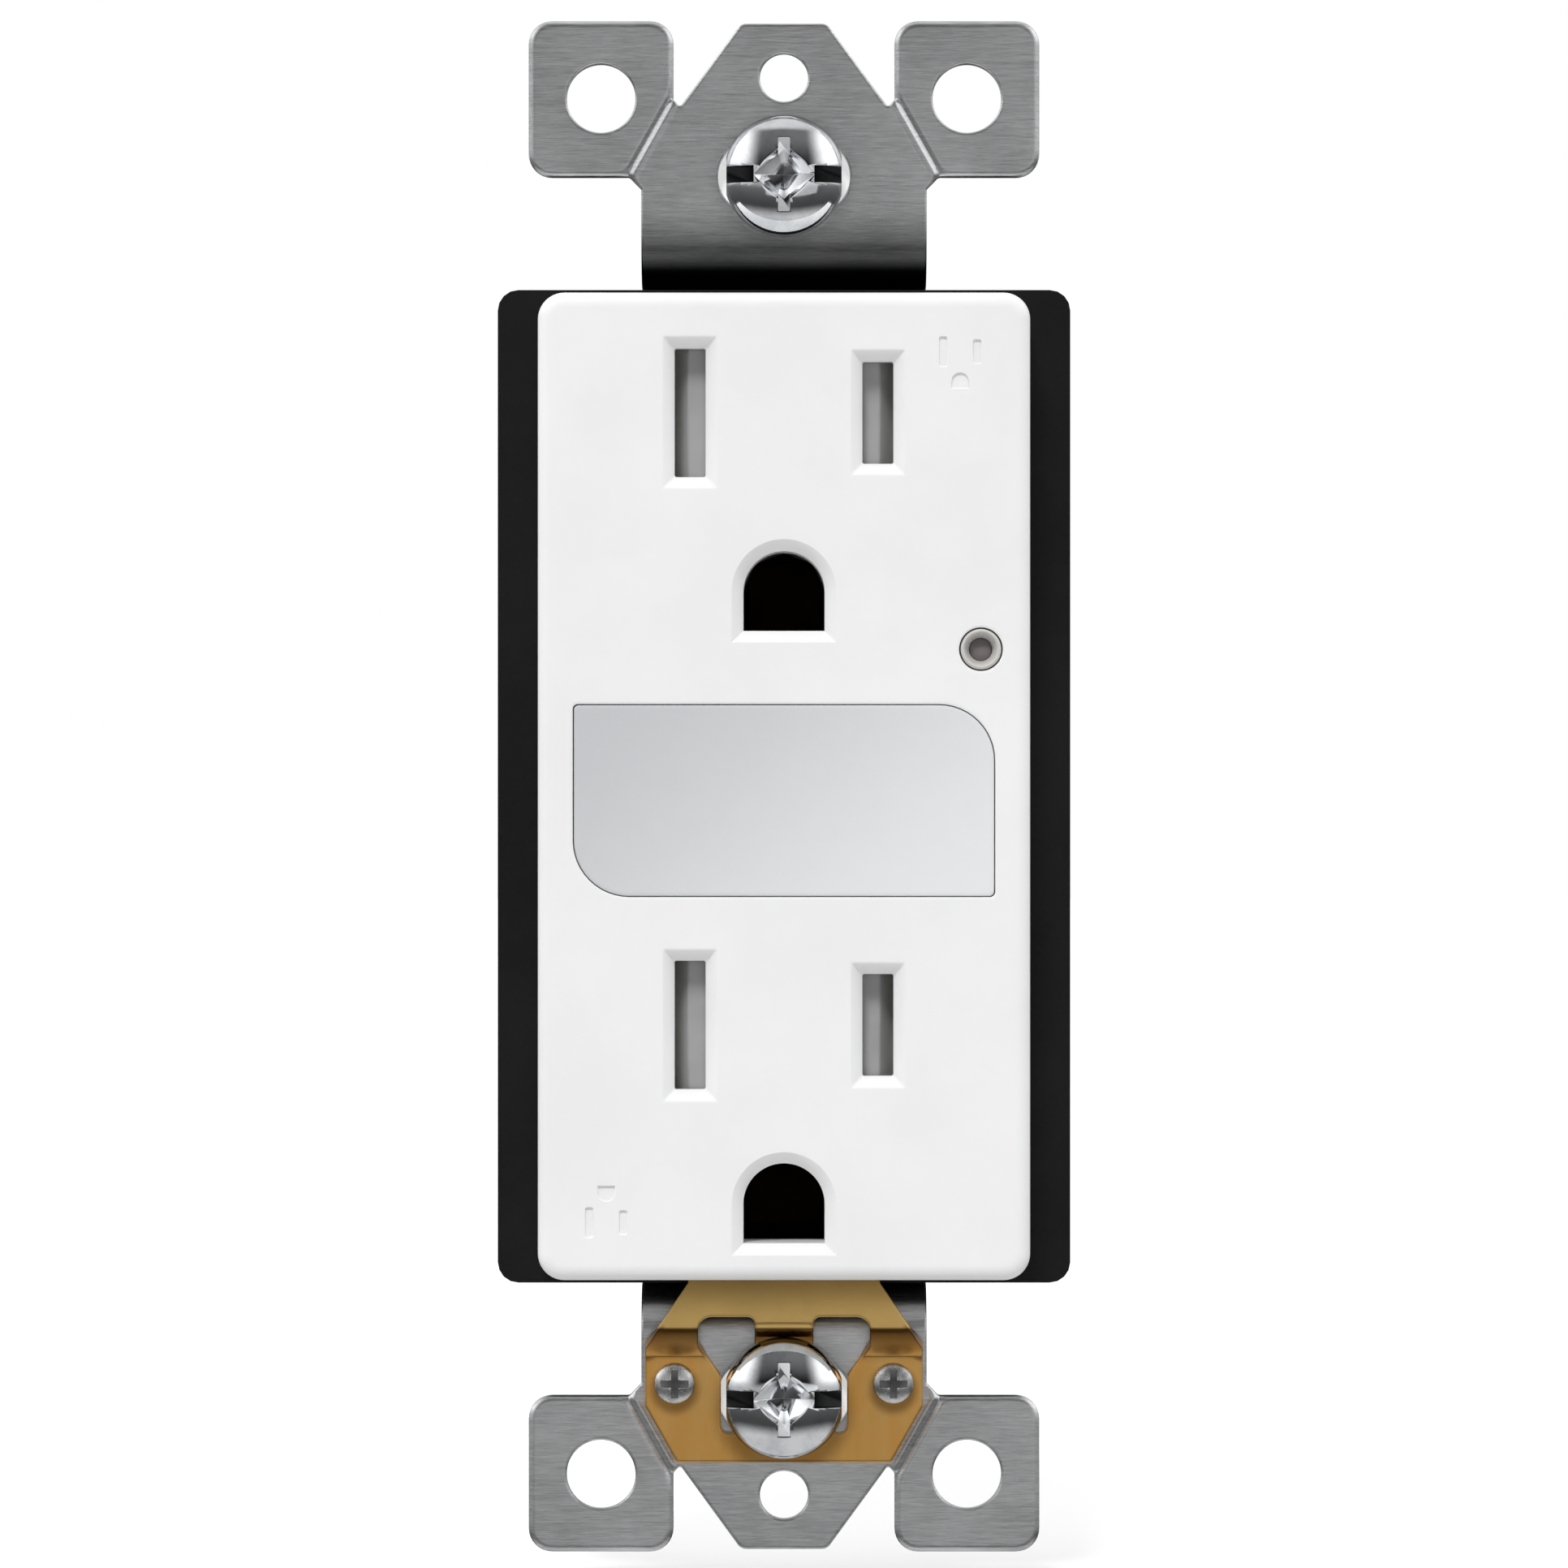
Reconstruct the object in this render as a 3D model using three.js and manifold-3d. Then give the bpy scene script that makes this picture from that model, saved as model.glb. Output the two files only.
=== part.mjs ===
// Decorator duplex receptacle with tamper-resistant shutters and an LED guide light.
// Millimetres, +Z up, -Y towards the room. The origin is the middle of the device on the
// plane where the back of the strap's ears meets the wall box.
import * as THREE from "three";
import { mergeVertices } from "three/addons/utils/BufferGeometryUtils.js";
import Module from "manifold-3d";

const wasm = await Module();
wasm.setup();

// ---------- Driving dimensions ----------

const FACE_W = 33.3; // decorator face, across
const FACE_H = 66.8; // decorator face, along
const FACE_CORNER_R = 1.8;
const FACE_EDGE_R = 0.8; // rounding of the front edge
const FACE_PROUD = 5.8; // face in front of the strap's front
const COVER_FRONT_T = 2.0;
const COVER_WALL = 1.6;
const SEAT_GAP = 0.1; // between pieces that rest face to face
const FIT_GAP = 0.3; // between a piece and the pocket that holds it

const STRAP_T = 1.2;
const STRAP_NECK_W = 19.5;
const STRAP_GAP = 0.15; // strap to the housing that it wraps
const YOKE_BEND_R = 2.2; // inside radius where the ears' plane turns back
const SLOT_OUT = 8.27; // mounting slot beyond the face's end: 83.34 apart
const SLOT_W = 9.0;
const SLOT_H = 4.9;
const PLATE_HOLE_OUT = 15.02; // wall plate screw hole beyond the face's end: 96.84 apart
const PLATE_HOLE_R = 1.65;
const EAR_X = 12.5; // ear hole from the middle
const EAR_OUT = 13.6; // ear hole beyond the face's end
const EAR_HOLE_R = 2.35;
const EAR_INNER = 4.95; // ear hole to the ear's inner edge
const EAR_OUTER = 4.95; // ear hole to the ear's outer edge
const EAR_TIP = 5.3; // ear hole to the ear's end
const EAR_ROOT = 5.4; // ear hole to the ear's edge by the body
const EAR_CORNER_R = 1.6;
const SCORE_DEPTH = 0.32;
const TONGUE_TIP_W = 5.86; // flat end of the middle tongue
const TONGUE_ROOT_W = 14.2;
const TONGUE_TIP_INSET = 0.2; // tongue's end short of the ears' ends
const NOTCH_UP = 0.6; // notch between ear and tongue, below the ear hole's centre

const FLANGE_SIDE = 2.9; // housing flange beyond the face, each side
const FLANGE_END = 0.5; // housing flange beyond the face, each end
const FLANGE_T = 4.0;
const FLANGE_CORNER_R = 1.4;
const BODY_INSET = 1.5; // body behind the flange's sides
const HOUSING_DEPTH = 19.6; // ear plane to the floor of the strap's channel
const HOUSING_FLOOR = 2.0;
const HOUSING_END_WALL = 1.6;
const HOUSING_BACK_R = 1.5;
const CHANNEL_RELIEF = 0.1; // housing under the strap, below its ends elsewhere
const CAVITY_HALF_W = 13.0;
const RIB_X = 4.0; // middle of the two long ribs
const RIB_T = 1.0;

const BLADE_SPACING = 12.7;
const BLADE_SLOT_W = 2.1;
const HOT_SLOT_H = 6.9;
const NEUTRAL_SLOT_H = 8.7;
const GROUND_DROP = 12.1; // blades' line to the ground pin's centre
const GROUND_HOLE_W = 5.5;
const GROUND_HOLE_FLAT = 2.65; // ground pin's centre to the flat side
const SLOT_FLARE = 0.75;
const UPPER_FROM_TOP = 8.14; // blades' line to the face's top
const LOWER_FROM_BOTTOM = 17.26; // blades' line to the face's bottom
const PIN_COLLAR_T = 1.1;

const LENS_W = 28.4;
const LENS_H = 12.9;
const LENS_Z = -0.96;
const LENS_BIG_R = 3.75;
const LENS_SMALL_R = 0.35;
const LENS_RIM = 0.6; // retaining rim behind the window
const LENS_RIM_T = 0.7;
const LENS_GAP = 0.08;
const SENSOR_X = 13.3;
const SENSOR_Z = 9.26;
const SENSOR_R = 1.42;
const SENSOR_CELL_R = 0.75;
const SENSOR_GAP = 0.06;
const SENSOR_FLANGE = 0.25;
const BOARD_T = 1.0;
const BOARD_EAR = 2.4; // ear beyond the sensor's middle
const LIGHT_ROOM_END = 7.7; // depth of the room for the board's components

const SHUTTER_T = 2.4;
const SHUTTER_LENGTH = 4.6; // along its travel
const SHUTTER_H = 9.0;
const SHUTTER_RAMP = 1.25; // width of the outer ramp
const SHUTTER_OUTER = 1.4; // outer edge beyond the blade's middle
const SPRING_R = 0.7;
const SPRING_WIRE_R = 0.15;
const SPRING_POCKET = 1.7;
const SPRING_TURNS = 6;
const TRAY_W = 22.4;
const TRAY_H = 10.8;
const TRAY_FLOOR = 1.0;

const BRASS_T = 0.8;
const LEAF_T = 0.6;
const LEAF_GAP = 1.75; // for a 1.5 mm blade
const LEAF_MOUTH = 0.5; // outward flare of each leaf at its tip
const LEAF_W = 6.4;
const LEAF_TOP = 2.1;
const LEAF_KNEE = 4.7; // where the leaves start to flare
const CONTACT_BASE_Y = 15.4;
const PIN_LEAF_GAP = 4.95; // for a 4.8 mm ground pin
const PIN_LEAF_W = 5.0;
const GROUND_RUN_W = 4.4;

const TERMINAL_X = 13.3; // inner face of the terminal plates
const TERMINAL_PLATE_T = 1.0;
const TERMINAL_Z = 13.0;
const TERMINAL_Y = 9.6;
const TERMINAL_PLATE_TOP = 5.0;
const GROUND_TERMINAL_BELOW = 7.26; // ground terminal below the lower blades' line
const WELL_H = 11.2; // along Z
const GROUND_WELL_H = 7.9;
const WELL_TOP = 5.05;
const WELL_DEPTH = 9.75;
const CLAMP_T = 1.3;
const CLAMP_H = 7.8;
const CLAMP_D = 8.4;
const GROUND_CLAMP_H = 6.4;
const CLAMP_GAP = 0.35; // clamp to terminal plate when tight
const TERMINAL_SHANK_R = 1.75;
const TERMINAL_HOLE_R = 2.7;
const CLAMP_HOLE_R = 2.35;
const TERMINAL_SHANK_L = 5.8;
const TERMINAL_HEAD_R = 3.9;
const GROUND_HEAD_R = 3.2;
const TERMINAL_HEAD_T = 2.4;
const WIRE_R = 1.45; // back wire hole
const WIRE_SPREAD = 3.25; // wire hole from the screw's axis
const LINK_H = 6.8; // break-off link
const LINK_W = 3.8;

const BRACKET_HALF_W = 9.45;
const BRACKET_END_HALF_W = 7.3;
const BRACKET_NECK_HALF_W = 6.4;
const BRACKET_OUT = 12.7; // bracket's end beyond the face's end
const TONGUE_W = 4.0; // contact tongue under the screw's head
const TONGUE_TOP = 3.2; // start of the tongue's slope beyond the face's end
const TONGUE_SLOPE = 0.8;
const SHELF_Y = -2.9; // middle of the shelf that enters the cover
const JOGGLE_START = 3.5; // joggle beyond the face's end
const JOGGLE_END = 5.5;
const RIVET_X = 7.45;
const RIVET_OUT = 7.3; // front rivets beyond the face's end
const RIVET_HEAD_R = 1.38;
const RIVET_HEAD_T = 0.8;
const RIVET_R = 0.9;
const RIVET_HOLE_R = 1.1;
const RIVET_FLARE_R = 1.45;
const BACK_RIVET_Z = 20.0;
const BACK_RIVET_R = 1.2;
const BACK_RIVET_HEAD_R = 2.2;
const BACK_RIVET_HEAD_T = 0.8;
const BACK_RIVET_TAIL_T = 0.6;

const MOUNT_SHANK_R = 1.75; // 6-32 machine screw
const MOUNT_SHANK_L = 19.0;
const MOUNT_HEAD_R = 4.15;
const MOUNT_HEAD_FLAT = 3.93; // trimmed sides of the head
const MOUNT_HEAD_T = 2.4;
const MOUNT_HEAD_RIM = 0.5;
const WASHER_W = 9.3;
const WASHER_H = 7.2;
const WASHER_T = 0.8;
const WASHER_HOLE_R = 1.95;

const CORNER_X = 13.8; // assembly screws from the middle
const CORNER_IN = 3.4; // assembly screws inside the face's ends
const CORNER_SCREW_R = 1.2;
const CORNER_HOLE_R = 1.5;
const CORNER_HEAD_R = 2.2;
const CORNER_HEAD_T = 1.6;
const CORNER_HEAD_DEPTH = 3.2; // counterbore
const COVER_BOSS_R = 2.3;
const COVER_BOSS_END = 3.6;
const SCREW_INTO_COVER = 5.0;

// ---------- Places that follow from them ----------

const strapFront = -STRAP_T;
const faceFront = strapFront - FACE_PROUD;
const coverInside = faceFront + COVER_FRONT_T;
const coverBack = strapFront - SEAT_GAP;
const faceTop = FACE_H / 2;
const flangeHalfW = FACE_W / 2 + FLANGE_SIDE;
const flangeHalfH = faceTop + FLANGE_END;
const bodyHalfW = flangeHalfW - BODY_INSET;
const legInside = flangeHalfH + STRAP_GAP;
const backInside = HOUSING_DEPTH + STRAP_GAP;
const backOutside = backInside + STRAP_T;
const cavityHalfH = flangeHalfH - HOUSING_END_WALL;
const floorInside = HOUSING_DEPTH - HOUSING_FLOOR;
const bladeX = BLADE_SPACING / 2;
const outletZ = { upper: faceTop - UPPER_FROM_TOP, lower: -faceTop + LOWER_FROM_BOTTOM };
const slotZ = faceTop + SLOT_OUT;
const earZ = faceTop + EAR_OUT;
const groundTerminalZ = outletZ.lower - GROUND_TERMINAL_BELOW;
const terminalOutside = TERMINAL_X + TERMINAL_PLATE_T;
const pocketHalfW = terminalOutside + FIT_GAP;
const clampInside = terminalOutside + CLAMP_GAP;
const screwSeatX = clampInside + CLAMP_T + SEAT_GAP;
const groundLegZ = -cavityHalfH + FIT_GAP + BRASS_T / 2;
const trayFront = coverInside + SEAT_GAP;
const trayDeck = trayFront + SEAT_GAP + SHUTTER_T + FIT_GAP;
const trayBack = trayDeck + TRAY_FLOOR;
const lensRimBack = coverInside + SEAT_GAP + LENS_RIM_T;
const boardBack = 0.2;
const boardFront = boardBack - BOARD_T;
const tongueBendZ = -faceTop - TONGUE_TOP - TONGUE_SLOPE;
const tongueEndZ = -slotZ + MOUNT_SHANK_R + FIT_GAP;
const retainerFront = boardBack + 0.4;
const retainerBack = LEAF_TOP - FIT_GAP;
const cornerZ = faceTop - CORNER_IN;
const cornerSeatY = backOutside - CORNER_HEAD_DEPTH;

// ---------- Materials ----------

const paint = (color, roughness, metalness = 0) =>
  new THREE.MeshStandardMaterial({ color, roughness, metalness });
const WHITE = paint(0xeeeeec, 0.4);
const BLACK = paint(0x1c1c1c, 0.55);
const LENS = paint(0xd8dadc, 0.35);
const BEZEL = paint(0xb9b6b0, 0.3);
const SENSOR_DARK = paint(0x4c4847, 0.3);
const SHUTTER_GREY = paint(0x9b9b9b, 0.5);
const NYLON = paint(0xf4f4f2, 0.5);
const STEEL = paint(0x979797, 0.35, 1);
const BRASS = paint(0xb8873f, 0.3, 1);
const CHROME = paint(0xd5d7d9, 0.12, 1);
const NICKEL = paint(0xb8b9ba, 0.25, 1);
const GREEN = paint(0x2f6b3c, 0.4, 0.6);
const BOARD_GREEN = paint(0x1f5a35, 0.5);
const LED_YELLOW = paint(0xf2e2a0, 0.4);
const CAPACITOR_RED = paint(0x8e2f22, 0.4);
const COMPONENT_BLACK = paint(0x222222, 0.45);

// ---------- Making and cutting solids ----------

// A closed three.js geometry as a manifold-3d solid, turned face-out if it was inside out.
function solid(geometry) {
  const plain = geometry.clone();
  plain.deleteAttribute("normal");
  plain.deleteAttribute("uv");
  const merged = mergeVertices(plain, 1e-4);
  const points = merged.attributes.position.array;
  const triangles = new Uint32Array(merged.index.array);
  let volume = 0;
  for (let i = 0; i < triangles.length; i += 3) {
    const [a, b, c] = [0, 1, 2].map((k) => new THREE.Vector3().fromArray(points, 3 * triangles[i + k]));
    volume += a.dot(b.cross(c));
  }
  if (volume < 0) {
    for (let i = 0; i < triangles.length; i += 3) {
      [triangles[i], triangles[i + 1]] = [triangles[i + 1], triangles[i]];
    }
  }
  return new wasm.Manifold(new wasm.Mesh({ numProp: 3, vertProperties: points, triVerts: triangles }));
}

// A solid's surface as a three.js geometry.
function geometryOf(made) {
  const mesh = made.getMesh();
  const geometry = new THREE.BufferGeometry();
  geometry.setAttribute("position", new THREE.BufferAttribute(new Float32Array(mesh.vertProperties), 3));
  geometry.setIndex(new THREE.BufferAttribute(new Uint32Array(mesh.triVerts), 1));
  geometry.computeVertexNormals();
  return geometry;
}

const join = (first, ...others) => others.reduce((sum, one) => sum.add(one), first);
const cut = (first, ...others) => others.reduce((rest, one) => rest.subtract(one), first);

// A block between two corners, given in any order.
function block(x0, x1, y0, y1, z0, z1) {
  const made = new THREE.BoxGeometry(Math.abs(x1 - x0), Math.abs(y1 - y0), Math.abs(z1 - z0));
  made.translate((x0 + x1) / 2, (y0 + y1) / 2, (z0 + z1) / 2);
  return solid(made);
}

// A round bar along Y at (x, z), with a second radius for a cone.
function barY(x, z, y0, y1, radius, sides = 12, endRadius = radius) {
  const made = new THREE.CylinderGeometry(endRadius, radius, y1 - y0, sides);
  made.translate(x, (y0 + y1) / 2, z);
  return solid(made);
}

// A round bar along X at (y, z).
function barX(y, z, x0, x1, radius, sides = 16) {
  const made = new THREE.CylinderGeometry(radius, radius, Math.abs(x1 - x0), sides);
  made.rotateZ(Math.PI / 2);
  made.translate((x0 + x1) / 2, y, z);
  return solid(made);
}

// An outline whose corners are [u, v, radius], as a shape with true arcs.
function rounded(corners) {
  const shape = new THREE.Shape();
  const count = corners.length;
  const at = (i) => new THREE.Vector2(corners[(i + count) % count][0], corners[(i + count) % count][1]);
  corners.forEach(([u, v, wanted = 0], i) => {
    const here = at(i);
    const back = at(i - 1).sub(here);
    const on = at(i + 1).sub(here);
    const half = Math.acos(THREE.MathUtils.clamp(back.dot(on) / (back.length() * on.length()), -1, 1)) / 2;
    const room = 0.49 * Math.min(back.length(), on.length());
    const radius = Math.min(wanted, room * Math.tan(half));
    if (radius < 1e-3 || half > 1.56) {
      if (i === 0) shape.moveTo(u, v);
      else shape.lineTo(u, v);
      return;
    }
    const reach = radius / Math.tan(half);
    const start = here.clone().add(back.clone().setLength(reach));
    const end = here.clone().add(on.clone().setLength(reach));
    const centre = back.clone().normalize().add(on.clone().normalize());
    centre.setLength(radius / Math.sin(half)).add(here);
    const clockwise = back.cross(on) > 0;
    if (i === 0) shape.moveTo(start.x, start.y);
    else shape.lineTo(start.x, start.y);
    const angle = (p) => Math.atan2(p.y - centre.y, p.x - centre.x);
    shape.absarc(centre.x, centre.y, radius, angle(start), angle(end), clockwise);
  });
  shape.closePath();
  return shape;
}

// A rectangle round (u, v), with one radius or four from the lower left, anticlockwise.
function rectangle(u, v, width, height, radius = 0) {
  const [a, b, c, d] = Array.isArray(radius) ? radius : [radius, radius, radius, radius];
  const [w, h] = [width / 2, height / 2];
  return rounded([[u - w, v - h, a], [u + w, v - h, b], [u + w, v + h, c], [u - w, v + h, d]]);
}

// An outline in X and Z made solid from y0 (front) to y1 (back). Each bend has twice `steps` facets.
function plateXZ(shape, y0, y1, steps = 2) {
  const made = new THREE.ExtrudeGeometry(
    shape,
    { depth: y1 - y0, bevelEnabled: false, curveSegments: steps },
  );
  made.rotateX(Math.PI / 2);
  made.translate(0, y1, 0);
  return solid(made);
}

// An outline in Y and Z made solid from x0 to x1.
function plateYZ(shape, x0, x1, steps = 2) {
  const made = new THREE.ExtrudeGeometry(
    shape,
    { depth: x1 - x0, bevelEnabled: false, curveSegments: steps },
  );
  made.applyMatrix4(new THREE.Matrix4().set(0, 0, 1, x0, 1, 0, 0, 0, 0, 1, 0, 0, 0, 0, 0, 1));
  return solid(made);
}

// The side view of a bent sheet: a line of [y, z, bend radius] points with the sheet's thickness.
function bentSheet(points, thickness) {
  const half = thickness / 2;
  const line = points.map(([y, z]) => new THREE.Vector2(y, z));
  const side = (sign) =>
    line.map((p, i) => {
      const before = p.clone().sub(line[Math.max(i - 1, 0)]);
      const after = line[Math.min(i + 1, line.length - 1)].clone().sub(p);
      const into = (before.length() ? before : after).clone().normalize();
      const out = (after.length() ? after : before).clone().normalize();
      const turn = into.cross(out);
      const normal = new THREE.Vector2(-into.y - out.y, into.x + out.x).divideScalar(1 + into.dot(out));
      const bend = (points[i][2] ?? 0) - Math.sign(turn) * sign * half;
      return [
        p.x + normal.x * half * sign, p.y + normal.y * half * sign,
        points[i][2] ? Math.max(bend, 0.05) : 0,
      ];
    });
  return rounded([...side(1), ...side(-1).reverse()]);
}

// A cut that passes right through, and flares outwards at the front by `flare` on every side.
function flaredCut(shape, u, v, halfW, halfH, flare, front, back) {
  const through = plateXZ(shape, front - 1, back, 4);
  const made = new THREE.ExtrudeGeometry(shape, { depth: flare, bevelEnabled: false, curveSegments: 4 });
  const position = made.attributes.position;
  for (let i = 0; i < position.count; i++) {
    if (position.getZ(i) < flare / 2) continue;
    position.setX(i, u + ((position.getX(i) - u) * (halfW + flare)) / halfW);
    position.setY(i, v + ((position.getY(i) - v) * (halfH + flare)) / halfH);
  }
  made.rotateX(Math.PI / 2);
  made.translate(0, front + flare, 0);
  return join(through, solid(made));
}

// A turned piece about the local Y axis, from [radius, y] points that start and end on the axis.
function turned(points, sides = 14) {
  return solid(new THREE.LatheGeometry(points.map(([r, y]) => new THREE.Vector2(r, y)), sides));
}

const part = new THREE.Group();

// Adds a piece to the object, at its place and turned about Z.
function place(name, made, material, [x, y, z] = [0, 0, 0], turn = 0, group = part) {
  const mesh = new THREE.Mesh(geometryOf(made), material);
  mesh.name = name;
  mesh.position.set(x, y, z);
  mesh.rotation.z = turn;
  group.add(mesh);
}

// ---------- Outlines that several pieces share ----------

const slotHeight = (side) => (side > 0 ? HOT_SLOT_H : NEUTRAL_SLOT_H);
const groundZ = (level) => outletZ[level] - GROUND_DROP;
const levels = ["upper", "lower"];
const sides = [1, -1];
const corners = sides.flatMap((sx) => sides.map((sz) => [sx * CORNER_X, sz * cornerZ]));

// The ground pin's opening: a half circle over a flat side.
function groundOutline(z, grow = 0) {
  const r = GROUND_HOLE_W / 2 + grow;
  const shape = new THREE.Shape();
  shape.moveTo(-r, z - GROUND_HOLE_FLAT - grow);
  shape.lineTo(r, z - GROUND_HOLE_FLAT - grow);
  shape.lineTo(r, z);
  shape.absarc(0, z, r, 0, Math.PI, false);
  shape.closePath();
  return shape;
}

// The light window: two opposite corners are large and two are nearly sharp.
function lensOutline(grow = 0) {
  const [big, small] = [LENS_BIG_R + grow, LENS_SMALL_R];
  return rectangle(0, LENS_Z, LENS_W + 2 * grow, LENS_H + 2 * grow, [big, small, big, small]);
}

// ---------- Face cover ----------

function faceCover() {
  const bevel = FACE_EDGE_R;
  const outline = rectangle(0, 0, FACE_W - 2 * bevel, FACE_H - 2 * bevel, FACE_CORNER_R - bevel);
  const shell = new THREE.ExtrudeGeometry(outline, {
    depth: FACE_PROUD,
    bevelThickness: bevel,
    bevelSize: bevel,
    bevelSegments: 2,
    curveSegments: 2,
  });
  shell.rotateX(Math.PI / 2);
  shell.translate(0, faceFront + bevel + FACE_PROUD, 0);
  const inner = rectangle(0, 0, FACE_W - 2 * COVER_WALL, FACE_H - 2 * COVER_WALL, FACE_CORNER_R / 2);
  let cover = cut(
    solid(shell),
    block(-FACE_W, FACE_W, coverBack, coverBack + FACE_PROUD + 2, -FACE_H, FACE_H),
    plateXZ(inner, coverInside, coverBack + 1),
  );
  for (const level of levels) {
    const z = groundZ(level);
    cover = join(cover, plateXZ(groundOutline(z, PIN_COLLAR_T), coverInside - 0.5, coverBack));
  }
  for (const [x, z] of corners) {
    const inside = FACE_W / 2 - COVER_WALL / 2;
    const boss = barY(x, z, coverInside - 0.5, COVER_BOSS_END, COVER_BOSS_R);
    const kept = block(
      -inside,
      inside,
      coverInside - 1,
      COVER_BOSS_END + 1,
      -faceTop + COVER_WALL / 2,
      faceTop - COVER_WALL / 2,
    );
    cover = join(cover, boss.intersect(kept));
    cover = cut(
      cover,
      barY(x, z, COVER_BOSS_END - SCREW_INTO_COVER, COVER_BOSS_END + 1, CORNER_HOLE_R, 10),
    );
  }
  for (const level of levels) {
    for (const side of sides) {
      const [x, z, h] = [side * bladeX, outletZ[level], slotHeight(side)];
      const slot = rectangle(x, z, BLADE_SLOT_W, h);
      cover = cut(
        cover,
        flaredCut(slot, x, z, BLADE_SLOT_W / 2, h / 2, SLOT_FLARE, faceFront, coverInside + 1),
      );
    }
    const z = groundZ(level);
    const halfH = (GROUND_HOLE_W / 2 + GROUND_HOLE_FLAT) / 2;
    const middle = z + (GROUND_HOLE_W / 2 - GROUND_HOLE_FLAT) / 2;
    cover = cut(
      cover,
      flaredCut(
        groundOutline(z), 0, middle, GROUND_HOLE_W / 2, halfH, SLOT_FLARE, faceFront,
        coverBack + 1,
      ),
    );
  }
  const bracketNotch = BRACKET_NECK_HALF_W + FIT_GAP;
  return cut(
    cover,
    plateXZ(lensOutline(LENS_GAP), faceFront - 1, coverInside + 1),
    barY(SENSOR_X, SENSOR_Z, faceFront - 1, coverInside + 1, SENSOR_R + SENSOR_GAP, 20),
    block(
      -bracketNotch,
      bracketNotch,
      SHELF_Y - BRASS_T / 2 - FIT_GAP,
      coverBack + 1,
      -FACE_H,
      -faceTop + COVER_WALL + 1,
    ),
  );
}

// ---------- Guide light ----------

function lightLens() {
  return join(
    plateXZ(lensOutline(), faceFront, coverInside + SEAT_GAP + LENS_RIM_T / 2),
    plateXZ(lensOutline(LENS_RIM), coverInside + SEAT_GAP, lensRimBack),
  );
}

// A frame round the light's chamber, from the lens to the board.
function lightBox() {
  const [front, back] = [lensRimBack + SEAT_GAP, boardFront - SEAT_GAP];
  return cut(
    plateXZ(lensOutline(LENS_RIM), front, back),
    plateXZ(lensOutline(-LENS_RIM), front - 1, back + 1),
  );
}

// The board, with an ear that carries the light sensor.
function ledBoard() {
  const half = LENS_W / 2 + LENS_RIM;
  const [low, high] = [LENS_Z - LENS_H / 2 - LENS_RIM, LENS_Z + LENS_H / 2 + LENS_RIM];
  const ear = SENSOR_X - SENSOR_R - FIT_GAP - 1;
  return plateXZ(
    rounded(
      [
        [-half, low, 0.5], [half, low, 0.5], [half, SENSOR_Z + BOARD_EAR, 0.5],
        [ear, SENSOR_Z + BOARD_EAR, 0.5], [ear, high, 0.5], [-half, high, 0.5],
      ]
    ),
    boardFront,
    boardBack,
  );
}

// A ring with a funnel in its front, round the sensor's tip.
function sensorBezel() {
  const [lip, funnel, hole] = [0.14, 0.9, SENSOR_CELL_R + SENSOR_GAP];
  return turned([
    [hole, funnel],
    [SENSOR_R - lip, 0],
    [SENSOR_R, 0],
    [SENSOR_R, COVER_FRONT_T + SEAT_GAP],
    [SENSOR_R + SENSOR_FLANGE, COVER_FRONT_T + SEAT_GAP],
    [SENSOR_R + SENSOR_FLANGE, COVER_FRONT_T + 0.8],
    [hole, COVER_FRONT_T + 0.8],
    [hole, funnel],
  ]);
}

function photocell() {
  const [tip, body, back] = [faceFront + 0.9, coverInside + 1.1, boardFront - SEAT_GAP];
  return turned(
    [
      [0, tip], [SENSOR_CELL_R * 0.7, tip], [SENSOR_CELL_R, tip + 0.25], [SENSOR_CELL_R, body],
      [1.3, body], [1.3, back], [0, back],
    ]
  );
}

// ---------- Shutters ----------

const shutterOuter = bladeX + SHUTTER_OUTER;
const shutterInner = shutterOuter - SHUTTER_LENGTH;
const shutterFront = trayFront + SEAT_GAP;

// One shutter: a wedge block with an outer ramp, and a pocket for the spring in its inner end.
function shutter(side) {
  const [front, back] = [shutterFront, shutterFront + SHUTTER_T];
  const lip = 0.5;
  const shape = rounded(
    [
      [shutterInner, back], [shutterOuter, back], [shutterOuter, back - lip],
      [shutterOuter - SHUTTER_RAMP, front], [shutterInner, front],
    ].map(
      ([x, y]) => [side * x, y],
    ),
  );
  const wedge = new THREE.ExtrudeGeometry(shape, { depth: SHUTTER_H, bevelEnabled: false });
  wedge.translate(0, 0, -SHUTTER_H / 2);
  const pocket = barX(
    (front + back) / 2,
    0,
    side * (shutterInner - 1),
    side * (shutterInner + SPRING_POCKET),
    SPRING_R + SPRING_WIRE_R + 0.08,
    12,
  );
  return cut(solid(wedge), pocket);
}

// The coil between the two shutters of one outlet.
function shutterSpring() {
  const half = shutterInner + SPRING_POCKET - SEAT_GAP - SPRING_WIRE_R;
  class Coil extends THREE.Curve {
    getPoint(t) {
      const turn = 2 * Math.PI * SPRING_TURNS * t;
      return new THREE.Vector3((2 * t - 1) * half, SPRING_R * Math.cos(turn), SPRING_R * Math.sin(turn));
    }
  }
  const wire = new THREE.Shape();
  for (let i = 0; i < 4; i++) {
    const angle = (2 * Math.PI * i) / 4;
    const [u, v] = [SPRING_WIRE_R * Math.cos(angle), SPRING_WIRE_R * Math.sin(angle)];
    if (i) wire.lineTo(u, v);
    else wire.moveTo(u, v);
  }
  return solid(
    new THREE.ExtrudeGeometry(
      wire,
      { steps: SPRING_TURNS * 8, extrudePath: new Coil(), bevelEnabled: false },
    )
  );
}

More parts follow.
